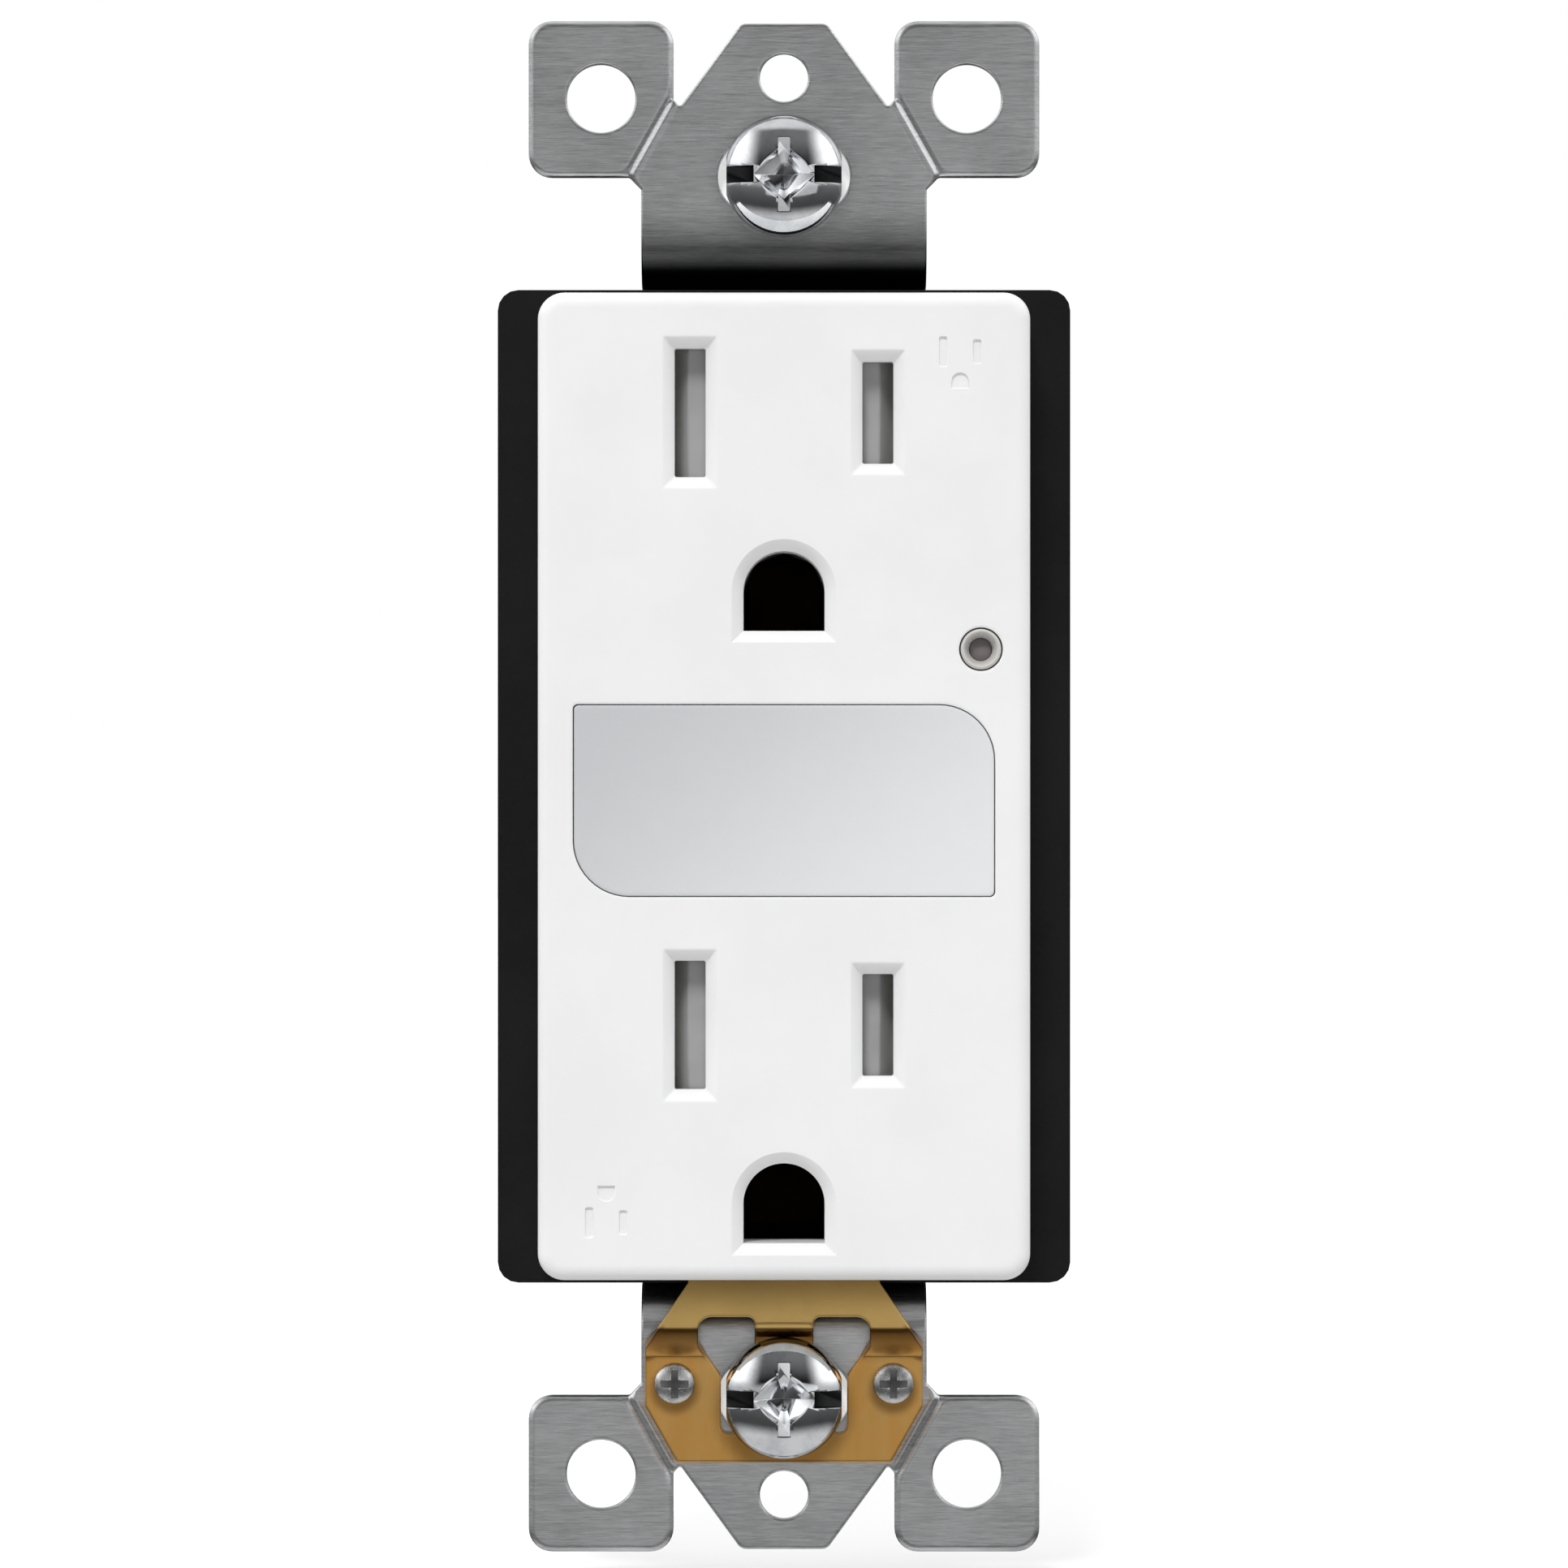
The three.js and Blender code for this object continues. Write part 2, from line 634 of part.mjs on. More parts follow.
function shutterTray() {
  const [w, h] = [TRAY_W / 2, TRAY_H / 2];
  const guide = SHUTTER_H / 2 + 0.15;
  const runEnd = shutterOuter + FIT_GAP;
  let tray = cut(
    block(-w, w, trayFront, trayBack, -h, h),
    block(-runEnd, runEnd, trayFront - 1, trayDeck, -guide, guide),
  );
  for (const side of sides) {
    const half = BLADE_SLOT_W / 2 + 0.25;
    const tall = slotHeight(side) / 2 + 0.1;
    tray = cut(
      tray,
      block(side * bladeX - half, side * bladeX + half, trayFront, trayBack + 1, -tall, tall),
    );
  }
  return tray;
}

// ---------- Contacts ----------

const contactBack = CONTACT_BASE_Y + BRASS_T;

// Two leaves that grip a blade or pin of the given gap, standing on the contact's base.
function leafPair(x, z, gap, width) {
  const pair = sides.map((s) => {
    const inside = gap / 2;
    const points = [
      [x + s * inside, CONTACT_BASE_Y + BRASS_T / 2],
      [x + s * inside, LEAF_KNEE],
      [x + s * (inside + LEAF_MOUTH), LEAF_TOP],
      [x + s * (inside + LEAF_MOUTH + LEAF_T), LEAF_TOP],
      [x + s * (inside + LEAF_T), LEAF_KNEE],
      [x + s * (inside + LEAF_T), CONTACT_BASE_Y + BRASS_T / 2],
    ];
    const leaf = new THREE.ExtrudeGeometry(rounded(points), { depth: width, bevelEnabled: false });
    leaf.translate(0, 0, z - width / 2);
    return solid(leaf);
  });
  return join(...pair);
}

// A terminal plate beside the well, with its screw hole.
function terminalPlate(side, z, height) {
  const plate = block(
    side * TERMINAL_X,
    side * terminalOutside,
    TERMINAL_PLATE_TOP,
    contactBack,
    z - height / 2,
    z + height / 2,
  );
  return cut(
    plate,
    barX(TERMINAL_Y, z, side * (TERMINAL_X - 1), side * (terminalOutside + 1), TERMINAL_HOLE_R),
  );
}

// One line conductor: two blade contacts, two terminal plates and the break-off link between them.
function bus(side) {
  const inner = bladeX - LEAF_GAP / 2 - LEAF_T;
  const plateH = WELL_H - 2 * FIT_GAP;
  const linkFront = TERMINAL_Y - LINK_W / 2;
  let made = block(
    side * TERMINAL_X,
    side * terminalOutside,
    linkFront,
    linkFront + LINK_W,
    -TERMINAL_Z,
    TERMINAL_Z,
  );
  for (const [i, level] of levels.entries()) {
    const z = (i ? -1 : 1) * TERMINAL_Z;
    const reach = [
      z - plateH / 2, z + plateH / 2, outletZ[level] - LEAF_W / 2, outletZ[level] + LEAF_W / 2,
    ];
    const arm = bladeX + LEAF_GAP;
    const base = block(
      side * (TERMINAL_X + 0.1),
      side * arm,
      CONTACT_BASE_Y,
      contactBack,
      reach[0],
      reach[1],
    );
    const foot = block(
      side * inner,
      side * (arm + 0.5),
      CONTACT_BASE_Y,
      contactBack,
      Math.min(...reach),
      Math.max(...reach),
    );
    made = join(
      made,
      block(
        side * TERMINAL_X,
        side * terminalOutside,
        TERMINAL_PLATE_TOP,
        contactBack,
        z - plateH / 2,
        z + plateH / 2,
      ),
    );
    made = join(made, base, foot, leafPair(side * bladeX, outletZ[level], LEAF_GAP, LEAF_W));
    made = cut(
      made,
      barX(TERMINAL_Y, z, side * (TERMINAL_X - 1), side * (terminalOutside + 1), TERMINAL_HOLE_R),
    );
  }
  const fin = block(
    side * terminalOutside,
    side * (terminalOutside + 2.2),
    linkFront + 0.5,
    linkFront + LINK_W - 0.5,
    -1.3,
    1.3,
  );
  const notches = sides.map(
    (s) => block(
      side * (TERMINAL_X - 1),
      side * (terminalOutside + 1),
      linkFront - 1,
      linkFront + 1.1,
      s * 1.5,
      s * 2.2,
    )
  );
  return cut(join(made, fin), ...notches);
}

// The grounding strip: the riveted bracket outside, the shelf into the cover, the run behind the
// contacts, a pair of leaves for each ground pin, and the ground terminal.
function groundStrip() {
  const seat = strapFront - SEAT_GAP / 2 - BRASS_T / 2;
  const end = -faceTop - BRACKET_OUT;
  const runY = CONTACT_BASE_Y + BRASS_T / 2;
  const top = groundZ("upper") + PIN_LEAF_W / 2;
  const side = bentSheet(
    [
      [seat, end], [seat, -faceTop - JOGGLE_END, 1], [SHELF_Y, -faceTop - JOGGLE_START, 1],
      [SHELF_Y, groundLegZ, 0.8], [runY, groundLegZ, 0.9], [runY, top],
    ],
    BRASS_T,
  );
  const inside = groundLegZ + BRASS_T / 2 + 0.1;
  const shoulder = -faceTop - 4.7;
  const chamfer = -faceTop - 9.0;
  const tongue = bentSheet(
    [
      [seat, tongueEndZ], [seat, tongueBendZ, 0.45], [SHELF_Y, -faceTop - TONGUE_TOP, 0.45],
      [SHELF_Y, -faceTop - 0.5],
    ],
    BRASS_T,
  );
  const half = [
    [BRACKET_END_HALF_W, end, 0.3],
    [BRACKET_HALF_W, chamfer, 0.3],
    [BRACKET_HALF_W, shoulder, 0.3],
    [BRACKET_NECK_HALF_W, -faceTop - 0.6, 0.3],
    [BRACKET_NECK_HALF_W, inside],
    [GROUND_RUN_W / 2, inside],
    [GROUND_RUN_W / 2, top],
  ];
  const outline = rounded([...half, ...half.map(([x, z, r]) => [-x, z, r]).reverse()]);
  const shelfTop = -faceTop - 2.7;
  const window = [
    [0, shelfTop],
    [5.85, shelfTop, 1.4],
    [5.85, shelfTop - 2.1, 0.6],
    [4.3, shelfTop - 4.2, 0.5],
    [4.3, -slotZ - SLOT_H / 2, 0.5],
  ];
  const opening = rounded([...window, ...window.slice(1).map(([x, z, r]) => [-x, z, r]).reverse()]);
  const far = BRACKET_HALF_W + 1;
  let strip = plateYZ(side, -far, far, 2).intersect(plateXZ(outline, faceFront, HOUSING_DEPTH));
  strip = cut(strip, plateXZ(opening, faceFront, 0));
  strip = join(strip, plateYZ(tongue, -TONGUE_W / 2, TONGUE_W / 2));
  for (const s of sides) strip = cut(
    strip,
    barY(s * RIVET_X, -faceTop - RIVET_OUT, faceFront, 0, RIVET_HOLE_R, 12),
  );
  for (const level of levels) {
    const z = groundZ(level);
    const foot = PIN_LEAF_GAP / 2 + LEAF_T;
    strip = join(
      strip,
      block(-foot, foot, CONTACT_BASE_Y, contactBack, z - PIN_LEAF_W / 2, z + PIN_LEAF_W / 2),
      leafPair(0, z, PIN_LEAF_GAP, PIN_LEAF_W),
    );
  }
  const armHalf = GROUND_WELL_H / 2 - 2 * FIT_GAP;
  const arm = block(
    0,
    -TERMINAL_X - 0.5,
    CONTACT_BASE_Y,
    contactBack,
    groundTerminalZ - armHalf,
    groundTerminalZ + armHalf,
  );
  return join(strip, arm, terminalPlate(-1, groundTerminalZ, 2 * armHalf));
}

// ---------- Rear housing ----------

const wells = [
  ...sides.flatMap((sx) => sides.map((sz) => ({ side: sx, z: sz * TERMINAL_Z, height: WELL_H }))),
  { side: -1, z: groundTerminalZ, height: GROUND_WELL_H },
];

function rearHousing() {
  const back = backOutside;
  const flange = plateXZ(
    rectangle(0, 0, 2 * flangeHalfW, 2 * flangeHalfH, FLANGE_CORNER_R),
    strapFront,
    strapFront + FLANGE_T,
  );
  const bodySide = (depth, half) =>
    rounded([[0, -half], [depth, -half, HOUSING_BACK_R], [depth, half, HOUSING_BACK_R], [0, half]]);
  const channel = STRAP_NECK_W / 2 + FIT_GAP;
  let made = join(
    flange,
    plateYZ(bodySide(HOUSING_DEPTH, flangeHalfH - CHANNEL_RELIEF), -bodyHalfW + 1, bodyHalfW - 1),
    plateYZ(bodySide(back, flangeHalfH), -bodyHalfW, -channel),
    plateYZ(bodySide(back, flangeHalfH), channel, bodyHalfW),
  );
  const open = strapFront - 1;
  const deep = contactBack + FIT_GAP;
  const pocketTop = TERMINAL_Z + WELL_H / 2;
  const groundPocket = groundTerminalZ - GROUND_WELL_H / 2;
  let cavity = join(
    block(-CAVITY_HALF_W, CAVITY_HALF_W, open, floorInside, -cavityHalfH, cavityHalfH),
    block(-pocketHalfW, pocketHalfW, open, deep, -pocketTop, pocketTop),
    block(-pocketHalfW, 0, open, deep, groundPocket, 0),
  );
  for (const [x, z] of corners) cavity = cut(
    cavity,
    barY(x, z, COVER_BOSS_END + FIT_GAP, floorInside + 1, COVER_BOSS_R + 0.7, 10),
  );
  made = cut(made, cavity);
  const ribEnd = groundLegZ + BRASS_T / 2 + FIT_GAP;
  for (const s of sides) {
    const rib = block(
      s * (RIB_X - RIB_T / 2),
      s * (RIB_X + RIB_T / 2),
      LEAF_KNEE + FIT_GAP,
      floorInside + 0.5,
      ribEnd,
      cavityHalfH + 0.5,
    );
    made = join(made, rib);
  }
  const lightRoom = LENS_H / 2 + LENS_RIM + FIT_GAP;
  const boardRoom = LENS_W / 2 + LENS_RIM + FIT_GAP / 2;
  const armRoom = GROUND_WELL_H / 2 - FIT_GAP;
  made = cut(
    made,
    block(-CAVITY_HALF_W, CAVITY_HALF_W, open, LIGHT_ROOM_END, LENS_Z - lightRoom, LENS_Z + lightRoom),
    block(
      -boardRoom,
      boardRoom,
      open,
      boardBack + SEAT_GAP,
      LENS_Z - lightRoom,
      SENSOR_Z + BOARD_EAR + FIT_GAP,
    ),
    block(
      -CAVITY_HALF_W,
      0,
      CONTACT_BASE_Y - FIT_GAP,
      contactBack + FIT_GAP,
      groundTerminalZ - armRoom,
      groundTerminalZ + armRoom,
    ),
  );
  for (const { side, z, height } of wells) {
    const [top, bottom] = [WELL_TOP, WELL_TOP + WELL_DEPTH];
    made = cut(
      made,
      block(
        side * (CAVITY_HALF_W + 0.2),
        side * (bodyHalfW + 1),
        top,
        bottom,
        z - height / 2,
        z + height / 2,
      ),
    );
    for (const s of height === WELL_H ? sides : [0]) {
      made = cut(made, barY(side * (clampInside + 1), z + s * WIRE_SPREAD, bottom - 1, back + 1, WIRE_R));
    }
  }
  for (const side of sides) {
    const half = LINK_W / 2 - FIT_GAP;
    const [inside, outside] = [side * (CAVITY_HALF_W + 0.2), side * (bodyHalfW + 1)];
    made = cut(made, block(inside, outside, TERMINAL_Y - half, TERMINAL_Y + half, -LINK_H / 2, LINK_H / 2));
  }
  for (const [x, z] of corners) {
    made = cut(
      made,
      barY(x, z, open, COVER_BOSS_END + FIT_GAP, COVER_BOSS_R + FIT_GAP),
      barY(x, z, open, back + 1, CORNER_HOLE_R, 10),
      barY(x, z, cornerSeatY, back + 1, CORNER_HEAD_R + 0.35),
    );
  }
  for (const s of sides) made = cut(
    made,
    barY(0, s * BACK_RIVET_Z, floorInside - 1, back + 1, BACK_RIVET_R + 0.15, 12),
  );
  return made;
}

// A plate over the contacts, open for each blade, each pin and the board's components.
function contactRetainer() {
  const half = CAVITY_HALF_W - FIT_GAP;
  const low = groundLegZ + BRASS_T / 2 + FIT_GAP;
  let made = block(-half, half, retainerFront, retainerBack, low, cavityHalfH - FIT_GAP);
  const [front, back] = [retainerFront - 1, retainerBack + 1];
  const room = LENS_H / 2 - 0.6;
  made = cut(made, block(-half + 0.5, half - 0.5, front, back, LENS_Z - room, LENS_Z + room));
  for (const level of levels) {
    const z = outletZ[level];
    for (const side of sides) {
      const x = side * bladeX;
      made = cut(
        made,
        block(
          x - LEAF_GAP,
          x + LEAF_GAP,
          front,
          back,
          z - NEUTRAL_SLOT_H / 2 - 0.2,
          z + NEUTRAL_SLOT_H / 2 + 0.2,
        ),
      );
    }
    made = cut(made, plateXZ(groundOutline(groundZ(level), 0.1), front, back));
  }
  for (const [x, z] of corners) made = cut(made, barY(x, z, front, back, COVER_BOSS_R + 2 * FIT_GAP));
  return made;
}

// ---------- Mounting strap ----------

// One end of the strap in front view, from the neck out: two plaster ears and the middle tongue.
function yokeOutline(up) {
  const neck = STRAP_NECK_W / 2;
  const [inner, outer] = [EAR_X - EAR_INNER, EAR_X + EAR_OUTER];
  const [root, tip] = [earZ - EAR_ROOT, earZ + EAR_TIP];
  const notch = earZ - NOTCH_UP;
  const half = [
    [neck, 0],
    [neck, root - 0.8, 0.3],
    [neck + 0.8, root, 0.3],
    [outer, root, EAR_CORNER_R],
    [outer, tip, EAR_CORNER_R],
    [inner, tip, EAR_CORNER_R],
    [inner, notch + 0.5, 0.3],
    [TONGUE_ROOT_W / 2, notch, 0.2],
    [TONGUE_TIP_W / 2, tip - TONGUE_TIP_INSET, 0.7],
  ];
  return rounded(
    [...half, ...half.map(([x, z, r]) => [-x, z, r]).reverse()].map(([x, z, r]) => [x, up * z, r])
  );
}

// The V groove along which an ear snaps off, on the sheet's face at y.
function scoreGroove(sx, up, y) {
  const from = new THREE.Vector3(sx * (EAR_X - EAR_INNER + 0.3), y, up * (earZ - NOTCH_UP + 0.3));
  const to = new THREE.Vector3(sx * (STRAP_NECK_W / 2 + 1.1), y, up * (earZ - EAR_ROOT - 0.3));
  const along = to.clone().sub(from);
  const width = SCORE_DEPTH * Math.SQRT2;
  const bar = new THREE.BoxGeometry(width, width, along.length() + 1);
  bar.rotateZ(Math.PI / 4);
  bar.rotateY(Math.atan2(along.x, along.z));
  bar.translate((from.x + to.x) / 2, y, (from.z + to.z) / 2);
  return solid(bar);
}

function mountingStrap() {
  const tip = earZ + EAR_TIP;
  const [front, leg, back] = [-STRAP_T / 2, legInside + STRAP_T / 2, backInside + STRAP_T / 2];
  const [yokeR, backR] = [YOKE_BEND_R + STRAP_T / 2, HOUSING_BACK_R + STRAP_GAP + STRAP_T / 2];
  const profile = bentSheet(
    [
      [front, tip], [front, leg, yokeR], [back, leg, backR], [back, -leg, backR],
      [front, -leg, yokeR], [front, -tip],
    ],
    STRAP_T,
  );
  const wide = EAR_X + EAR_OUTER + 1;
  const outline = join(
    plateXZ(yokeOutline(1), -2 * STRAP_T, backOutside + 1),
    plateXZ(yokeOutline(-1), -2 * STRAP_T, backOutside + 1),
  );
  let strap = plateYZ(profile, -wide, wide, 3).intersect(outline);
  const [out, inn] = [-2 * STRAP_T, STRAP_T];
  for (const up of sides) {
    strap = cut(
      strap,
      plateXZ(rectangle(0, up * slotZ, SLOT_W, SLOT_H, SLOT_H / 2 - 0.02), out, inn),
      barY(0, up * (faceTop + PLATE_HOLE_OUT), out, inn, PLATE_HOLE_R, 14),
      barY(0, up * BACK_RIVET_Z, HOUSING_DEPTH, backOutside + 1, BACK_RIVET_R + 0.15, 12),
    );
    for (const sx of sides) {
      strap = cut(
        strap,
        barY(sx * EAR_X, up * earZ, out, inn, EAR_HOLE_R, 16),
        scoreGroove(sx, up, strapFront),
        scoreGroove(sx, up, 0),
      );
    }
  }
  for (const s of sides) {
    const z = -faceTop - RIVET_OUT;
    strap = cut(
      strap,
      barY(s * RIVET_X, z, out, inn, RIVET_HOLE_R, 12),
      barY(s * RIVET_X, z, -0.5, 0.1, RIVET_HOLE_R, 12, RIVET_FLARE_R + 0.25),
    );
  }
  return strap;
}

// ---------- Fasteners ----------

// A slotted, square and cross recess in a head whose top is at y = -height.
function driveRecess(height, reach, slotWidth, square) {
  const deep = new THREE.ConeGeometry(square, 1.6, 4);
  deep.translate(0, -height + 0.75, 0);
  const slot = block(-reach, reach, -height - 1, -height + 0.95, -slotWidth / 2, slotWidth / 2);
  const cross = block(
    -slotWidth / 2, slotWidth / 2, -height - 1, -height + 0.8, -square * 1.2, square * 1.2,
  );
  return join(solid(deep), slot, cross);
}

// A domed screw along local Y: the head's underside is at y = 0 and its top at y = -height.
function domedScrew(headR, height, rim, shankR, shankL) {
  const dome = [0.35, 0.7, 1].map(
    (t) => [headR * Math.cos((t * Math.PI) / 2), -rim - (height - rim) * Math.sin((t * Math.PI) / 2)]
  );
  dome[dome.length - 1][0] = 0;
  return turned(
    [
      [0, shankL], [shankR * 0.6, shankL], [shankR, shankL - shankR * 0.6], [shankR, 0],
      [headR, 0], [headR, -rim], ...dome,
    ]
  );
}

function mountingScrew() {
  const screw = domedScrew(MOUNT_HEAD_R, MOUNT_HEAD_T, MOUNT_HEAD_RIM, MOUNT_SHANK_R, MOUNT_SHANK_L);
  const trimmed = screw.intersect(
    block(
      -MOUNT_HEAD_FLAT, MOUNT_HEAD_FLAT, -MOUNT_HEAD_T - 1, MOUNT_SHANK_L + 1, -MOUNT_HEAD_R,
      MOUNT_HEAD_R,
    )
  );
  return cut(trimmed, driveRecess(MOUNT_HEAD_T, MOUNT_HEAD_R + 1, 1.15, 2.1));
}

function retainerWasher() {
  return cut(
    plateXZ(rectangle(0, 0, WASHER_W, WASHER_H, 0.8), 0, WASHER_T, 3),
    barY(0, 0, -1, WASHER_T + 1, WASHER_HOLE_R),
  );
}

function terminalScrew(headR) {
  const screw = domedScrew(headR, TERMINAL_HEAD_T, 1.3, TERMINAL_SHANK_R, TERMINAL_SHANK_L);
  return cut(screw, driveRecess(TERMINAL_HEAD_T, headR + 1, 1.1, 1.5));
}

// A clamp plate that slides with its screw: grooved for the wires on its inner face.
function clampPlate(side, height) {
  const [x0, x1] = [side * clampInside, side * (clampInside + CLAMP_T)];
  const shape = rectangle(TERMINAL_Y, 0, CLAMP_D, height, 0.6);
  let plate = plateYZ(shape, Math.min(x0, x1), Math.max(x0, x1), 2);
  plate = cut(
    plate,
    barX(TERMINAL_Y, 0, side * (clampInside - 1), side * (clampInside + CLAMP_T + 1), CLAMP_HOLE_R),
  );
  if (height < CLAMP_H) return plate;
  for (const s of sides) plate = cut(
    plate,
    barY(x0 - side * 0.5, s * WIRE_SPREAD, 0, 2 * TERMINAL_Y, 0.9, 10),
  );
  return plate;
}

// A rivet with a domed, crossed head at y < 0 and a flared tail.
function frontRivet() {
  const tail = STRAP_T + SEAT_GAP / 2 + BRASS_T;
  const rivet = turned(
    [
      [0, tail],
      [RIVET_FLARE_R, tail],
      [RIVET_R, tail - 0.45],
      [RIVET_R, 0],
      [RIVET_HEAD_R, 0],
      [RIVET_HEAD_R, -RIVET_HEAD_T * 0.5],
      [RIVET_HEAD_R * 0.6, -RIVET_HEAD_T * 0.92],
      [0, -RIVET_HEAD_T],
    ],
    12,
  );
  const arm = (w, h) => block(-w, w, -RIVET_HEAD_T - 1, -RIVET_HEAD_T * 0.45, -h, h);
  return cut(rivet, arm(0.22, 0.95), arm(0.95, 0.22));
}

// The rivet through the strap's back and the housing's floor; its head is at y > 0.
function backRivet() {
  const tail = -(backOutside - floorInside) - SEAT_GAP;
  const [r, head] = [BACK_RIVET_R, BACK_RIVET_HEAD_R];
  return turned([
    [0, tail - BACK_RIVET_TAIL_T],
    [1.8, tail - BACK_RIVET_TAIL_T],
    [1.8, tail],
    [r, tail],
    [r, SEAT_GAP],
    [head, SEAT_GAP],
    [head, SEAT_GAP + BACK_RIVET_HEAD_T * 0.4],
    [head * 0.6, SEAT_GAP + BACK_RIVET_HEAD_T * 0.9],
    [0, SEAT_GAP + BACK_RIVET_HEAD_T],
  ], 12);
}

// The long screw that holds the cover to the housing; its head is at y > 0.
function assemblyScrew() {
  const length = cornerSeatY - (COVER_BOSS_END - SCREW_INTO_COVER) - FIT_GAP;
  const screw = turned(
    [
      [0, -length], [CORNER_SCREW_R, -length + 1], [CORNER_SCREW_R, 0], [CORNER_HEAD_R, 0],
      [CORNER_HEAD_R, CORNER_HEAD_T * 0.6], [CORNER_HEAD_R * 0.6, CORNER_HEAD_T],
      [0, CORNER_HEAD_T],
    ],
    14,
  );
  const arm = (w, h) => block(-w, w, CORNER_HEAD_T * 0.45, CORNER_HEAD_T + 1, -h, h);
  return cut(screw, arm(0.3, 1.2), arm(1.2, 0.3));
}

// ---------- Board components ----------

// An insulated lead from the board to a line conductor.
function boardLead(side) {
  const [x, wire] = [TERMINAL_X - 2.1, 0.55];
  const route = new THREE.CatmullRomCurve3([
    new THREE.Vector3(side * x, boardBack + FIT_GAP, LENS_Z - 2),
    new THREE.Vector3(side * x, 4, LENS_Z - 1.6),
    new THREE.Vector3(side * (x + 0.3), 7, LENS_Z),
    new THREE.Vector3(side * (TERMINAL_X - FIT_GAP - wire), TERMINAL_Y, LENS_Z + 1),
  ]);
  const ring = new THREE.Shape().absarc(0, 0, wire, 0, 2 * Math.PI, false);
  return solid(
    new THREE.ExtrudeGeometry(
      ring,
      { steps: 10, curveSegments: 4, extrudePath: route, bevelEnabled: false },
    )
  );
}

function boardComponents() {
  const y = boardBack + SEAT_GAP;
  const boxPart = (w, d, h) => block(-w / 2, w / 2, 0, d, -h / 2, h / 2);
  place("dropper_capacitor", boxPart(9, 7, 4.4), CAPACITOR_RED, [-3.2, y, LENS_Z - 3]);
  place("bridge_rectifier", boxPart(4.6, 2.4, 3.8), COMPONENT_BLACK, [-5.6, y, LENS_Z + 2.8]);
  place("smoothing_capacitor", barY(0, 0, 0, 6.2, 2.4, 14), COMPONENT_BLACK, [5.4, y, LENS_Z + 2]);
  place("dropper_resistor", barX(0, 0, -2.8, 2.8, 1.1, 10), BEZEL, [6.2, y + 1.3, LENS_Z - 3.4]);
  for (const [i, x] of [-9, 0, 9].entries()) {
    place(`led_${i + 1}`, boxPart(3.2, 0.7, 2.8), LED_YELLOW, [x, boardFront - SEAT_GAP - 0.7, LENS_Z]);
  }
}

// ---------- The assembly ----------

place("face_cover", faceCover(), WHITE);
place("light_lens", lightLens(), LENS);
place("light_box", lightBox(), WHITE);
place("led_board", ledBoard(), BOARD_GREEN);
place("sensor_bezel", sensorBezel(), BEZEL, [SENSOR_X, faceFront, SENSOR_Z]);
place("photocell", photocell(), SENSOR_DARK, [SENSOR_X, 0, SENSOR_Z]);
boardComponents();
place("lead_hot", boardLead(1), COMPONENT_BLACK);
place("lead_neutral", boardLead(-1), WHITE);

for (const level of levels) {
  const outlet = new THREE.Group();
  outlet.position.z = outletZ[level];
  part.add(outlet);
  place(`${level}_shutter_tray`, shutterTray(), NYLON, [0, 0, 0], 0, outlet);
  place(`${level}_hot_shutter`, shutter(1), SHUTTER_GREY, [0, 0, 0], 0, outlet);
  place(`${level}_neutral_shutter`, shutter(-1), SHUTTER_GREY, [0, 0, 0], 0, outlet);
  place(`${level}_shutter_spring`, shutterSpring(), STEEL, [0, shutterFront + SHUTTER_T / 2, 0], 0, outlet);
}

place("contact_retainer", contactRetainer(), BLACK);
place("hot_contact", bus(1), BRASS);
place("neutral_contact", bus(-1), BRASS);
place("ground_strip", groundStrip(), BRASS);
place("rear_housing", rearHousing(), BLACK);
place("mounting_strap", mountingStrap(), STEEL);

const bracketTop = strapFront - SEAT_GAP / 2 - BRASS_T;
for (const s of sides) {
  place(
    `bracket_rivet_${s > 0 ? "right" : "left"}`,
    frontRivet(),
    NICKEL,
    [s * RIVET_X, bracketTop - SEAT_GAP / 2, -faceTop - RIVET_OUT],
  );
  place(`back_rivet_${s > 0 ? "upper" : "lower"}`, backRivet(), NICKEL, [0, backOutside, s * BACK_RIVET_Z]);
}

place("upper_mounting_screw", mountingScrew(), CHROME, [0, strapFront - SEAT_GAP, slotZ]);
place("lower_mounting_screw", mountingScrew(), CHROME, [0, bracketTop - SEAT_GAP, -slotZ]);
place("upper_retainer_washer", retainerWasher(), NYLON, [0, SEAT_GAP, slotZ]);
place("lower_retainer_washer", retainerWasher(), NYLON, [0, SEAT_GAP, -slotZ]);

const cornerNames = ["right_upper", "right_lower", "left_upper", "left_lower"];
for (const [i, [x, z]] of corners.entries()) {
  place(`assembly_screw_${cornerNames[i]}`, assemblyScrew(), NICKEL, [x, cornerSeatY + SEAT_GAP, z]);
}

for (const side of sides) {
  const line = side > 0 ? "hot" : "neutral";
  for (const [i, level] of levels.entries()) {
    const z = (i ? -1 : 1) * TERMINAL_Z;
    place(`${level}_${line}_clamp`, clampPlate(side, CLAMP_H), NICKEL, [0, 0, z]);
    place(
      `${level}_${line}_screw`,
      terminalScrew(TERMINAL_HEAD_R),
      side > 0 ? BRASS : NICKEL,
      [side * screwSeatX, TERMINAL_Y, z],
      (side * Math.PI) / 2,
    );
  }
}
place("ground_clamp", clampPlate(-1, GROUND_CLAMP_H), NICKEL, [0, 0, groundTerminalZ]);
place(
  "ground_screw",
  terminalScrew(GROUND_HEAD_R),
  GREEN,
  [-screwSeatX, TERMINAL_Y, groundTerminalZ],
  -Math.PI / 2,
);

export default part;
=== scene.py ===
"""Looks of a decorator duplex receptacle with an LED guide light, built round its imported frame.

Every piece is made in millimetres in the frame's own axes (+Z up, -Y towards the room) and becomes a
mesh in metres when it is finished.
"""

from __future__ import annotations

import sys

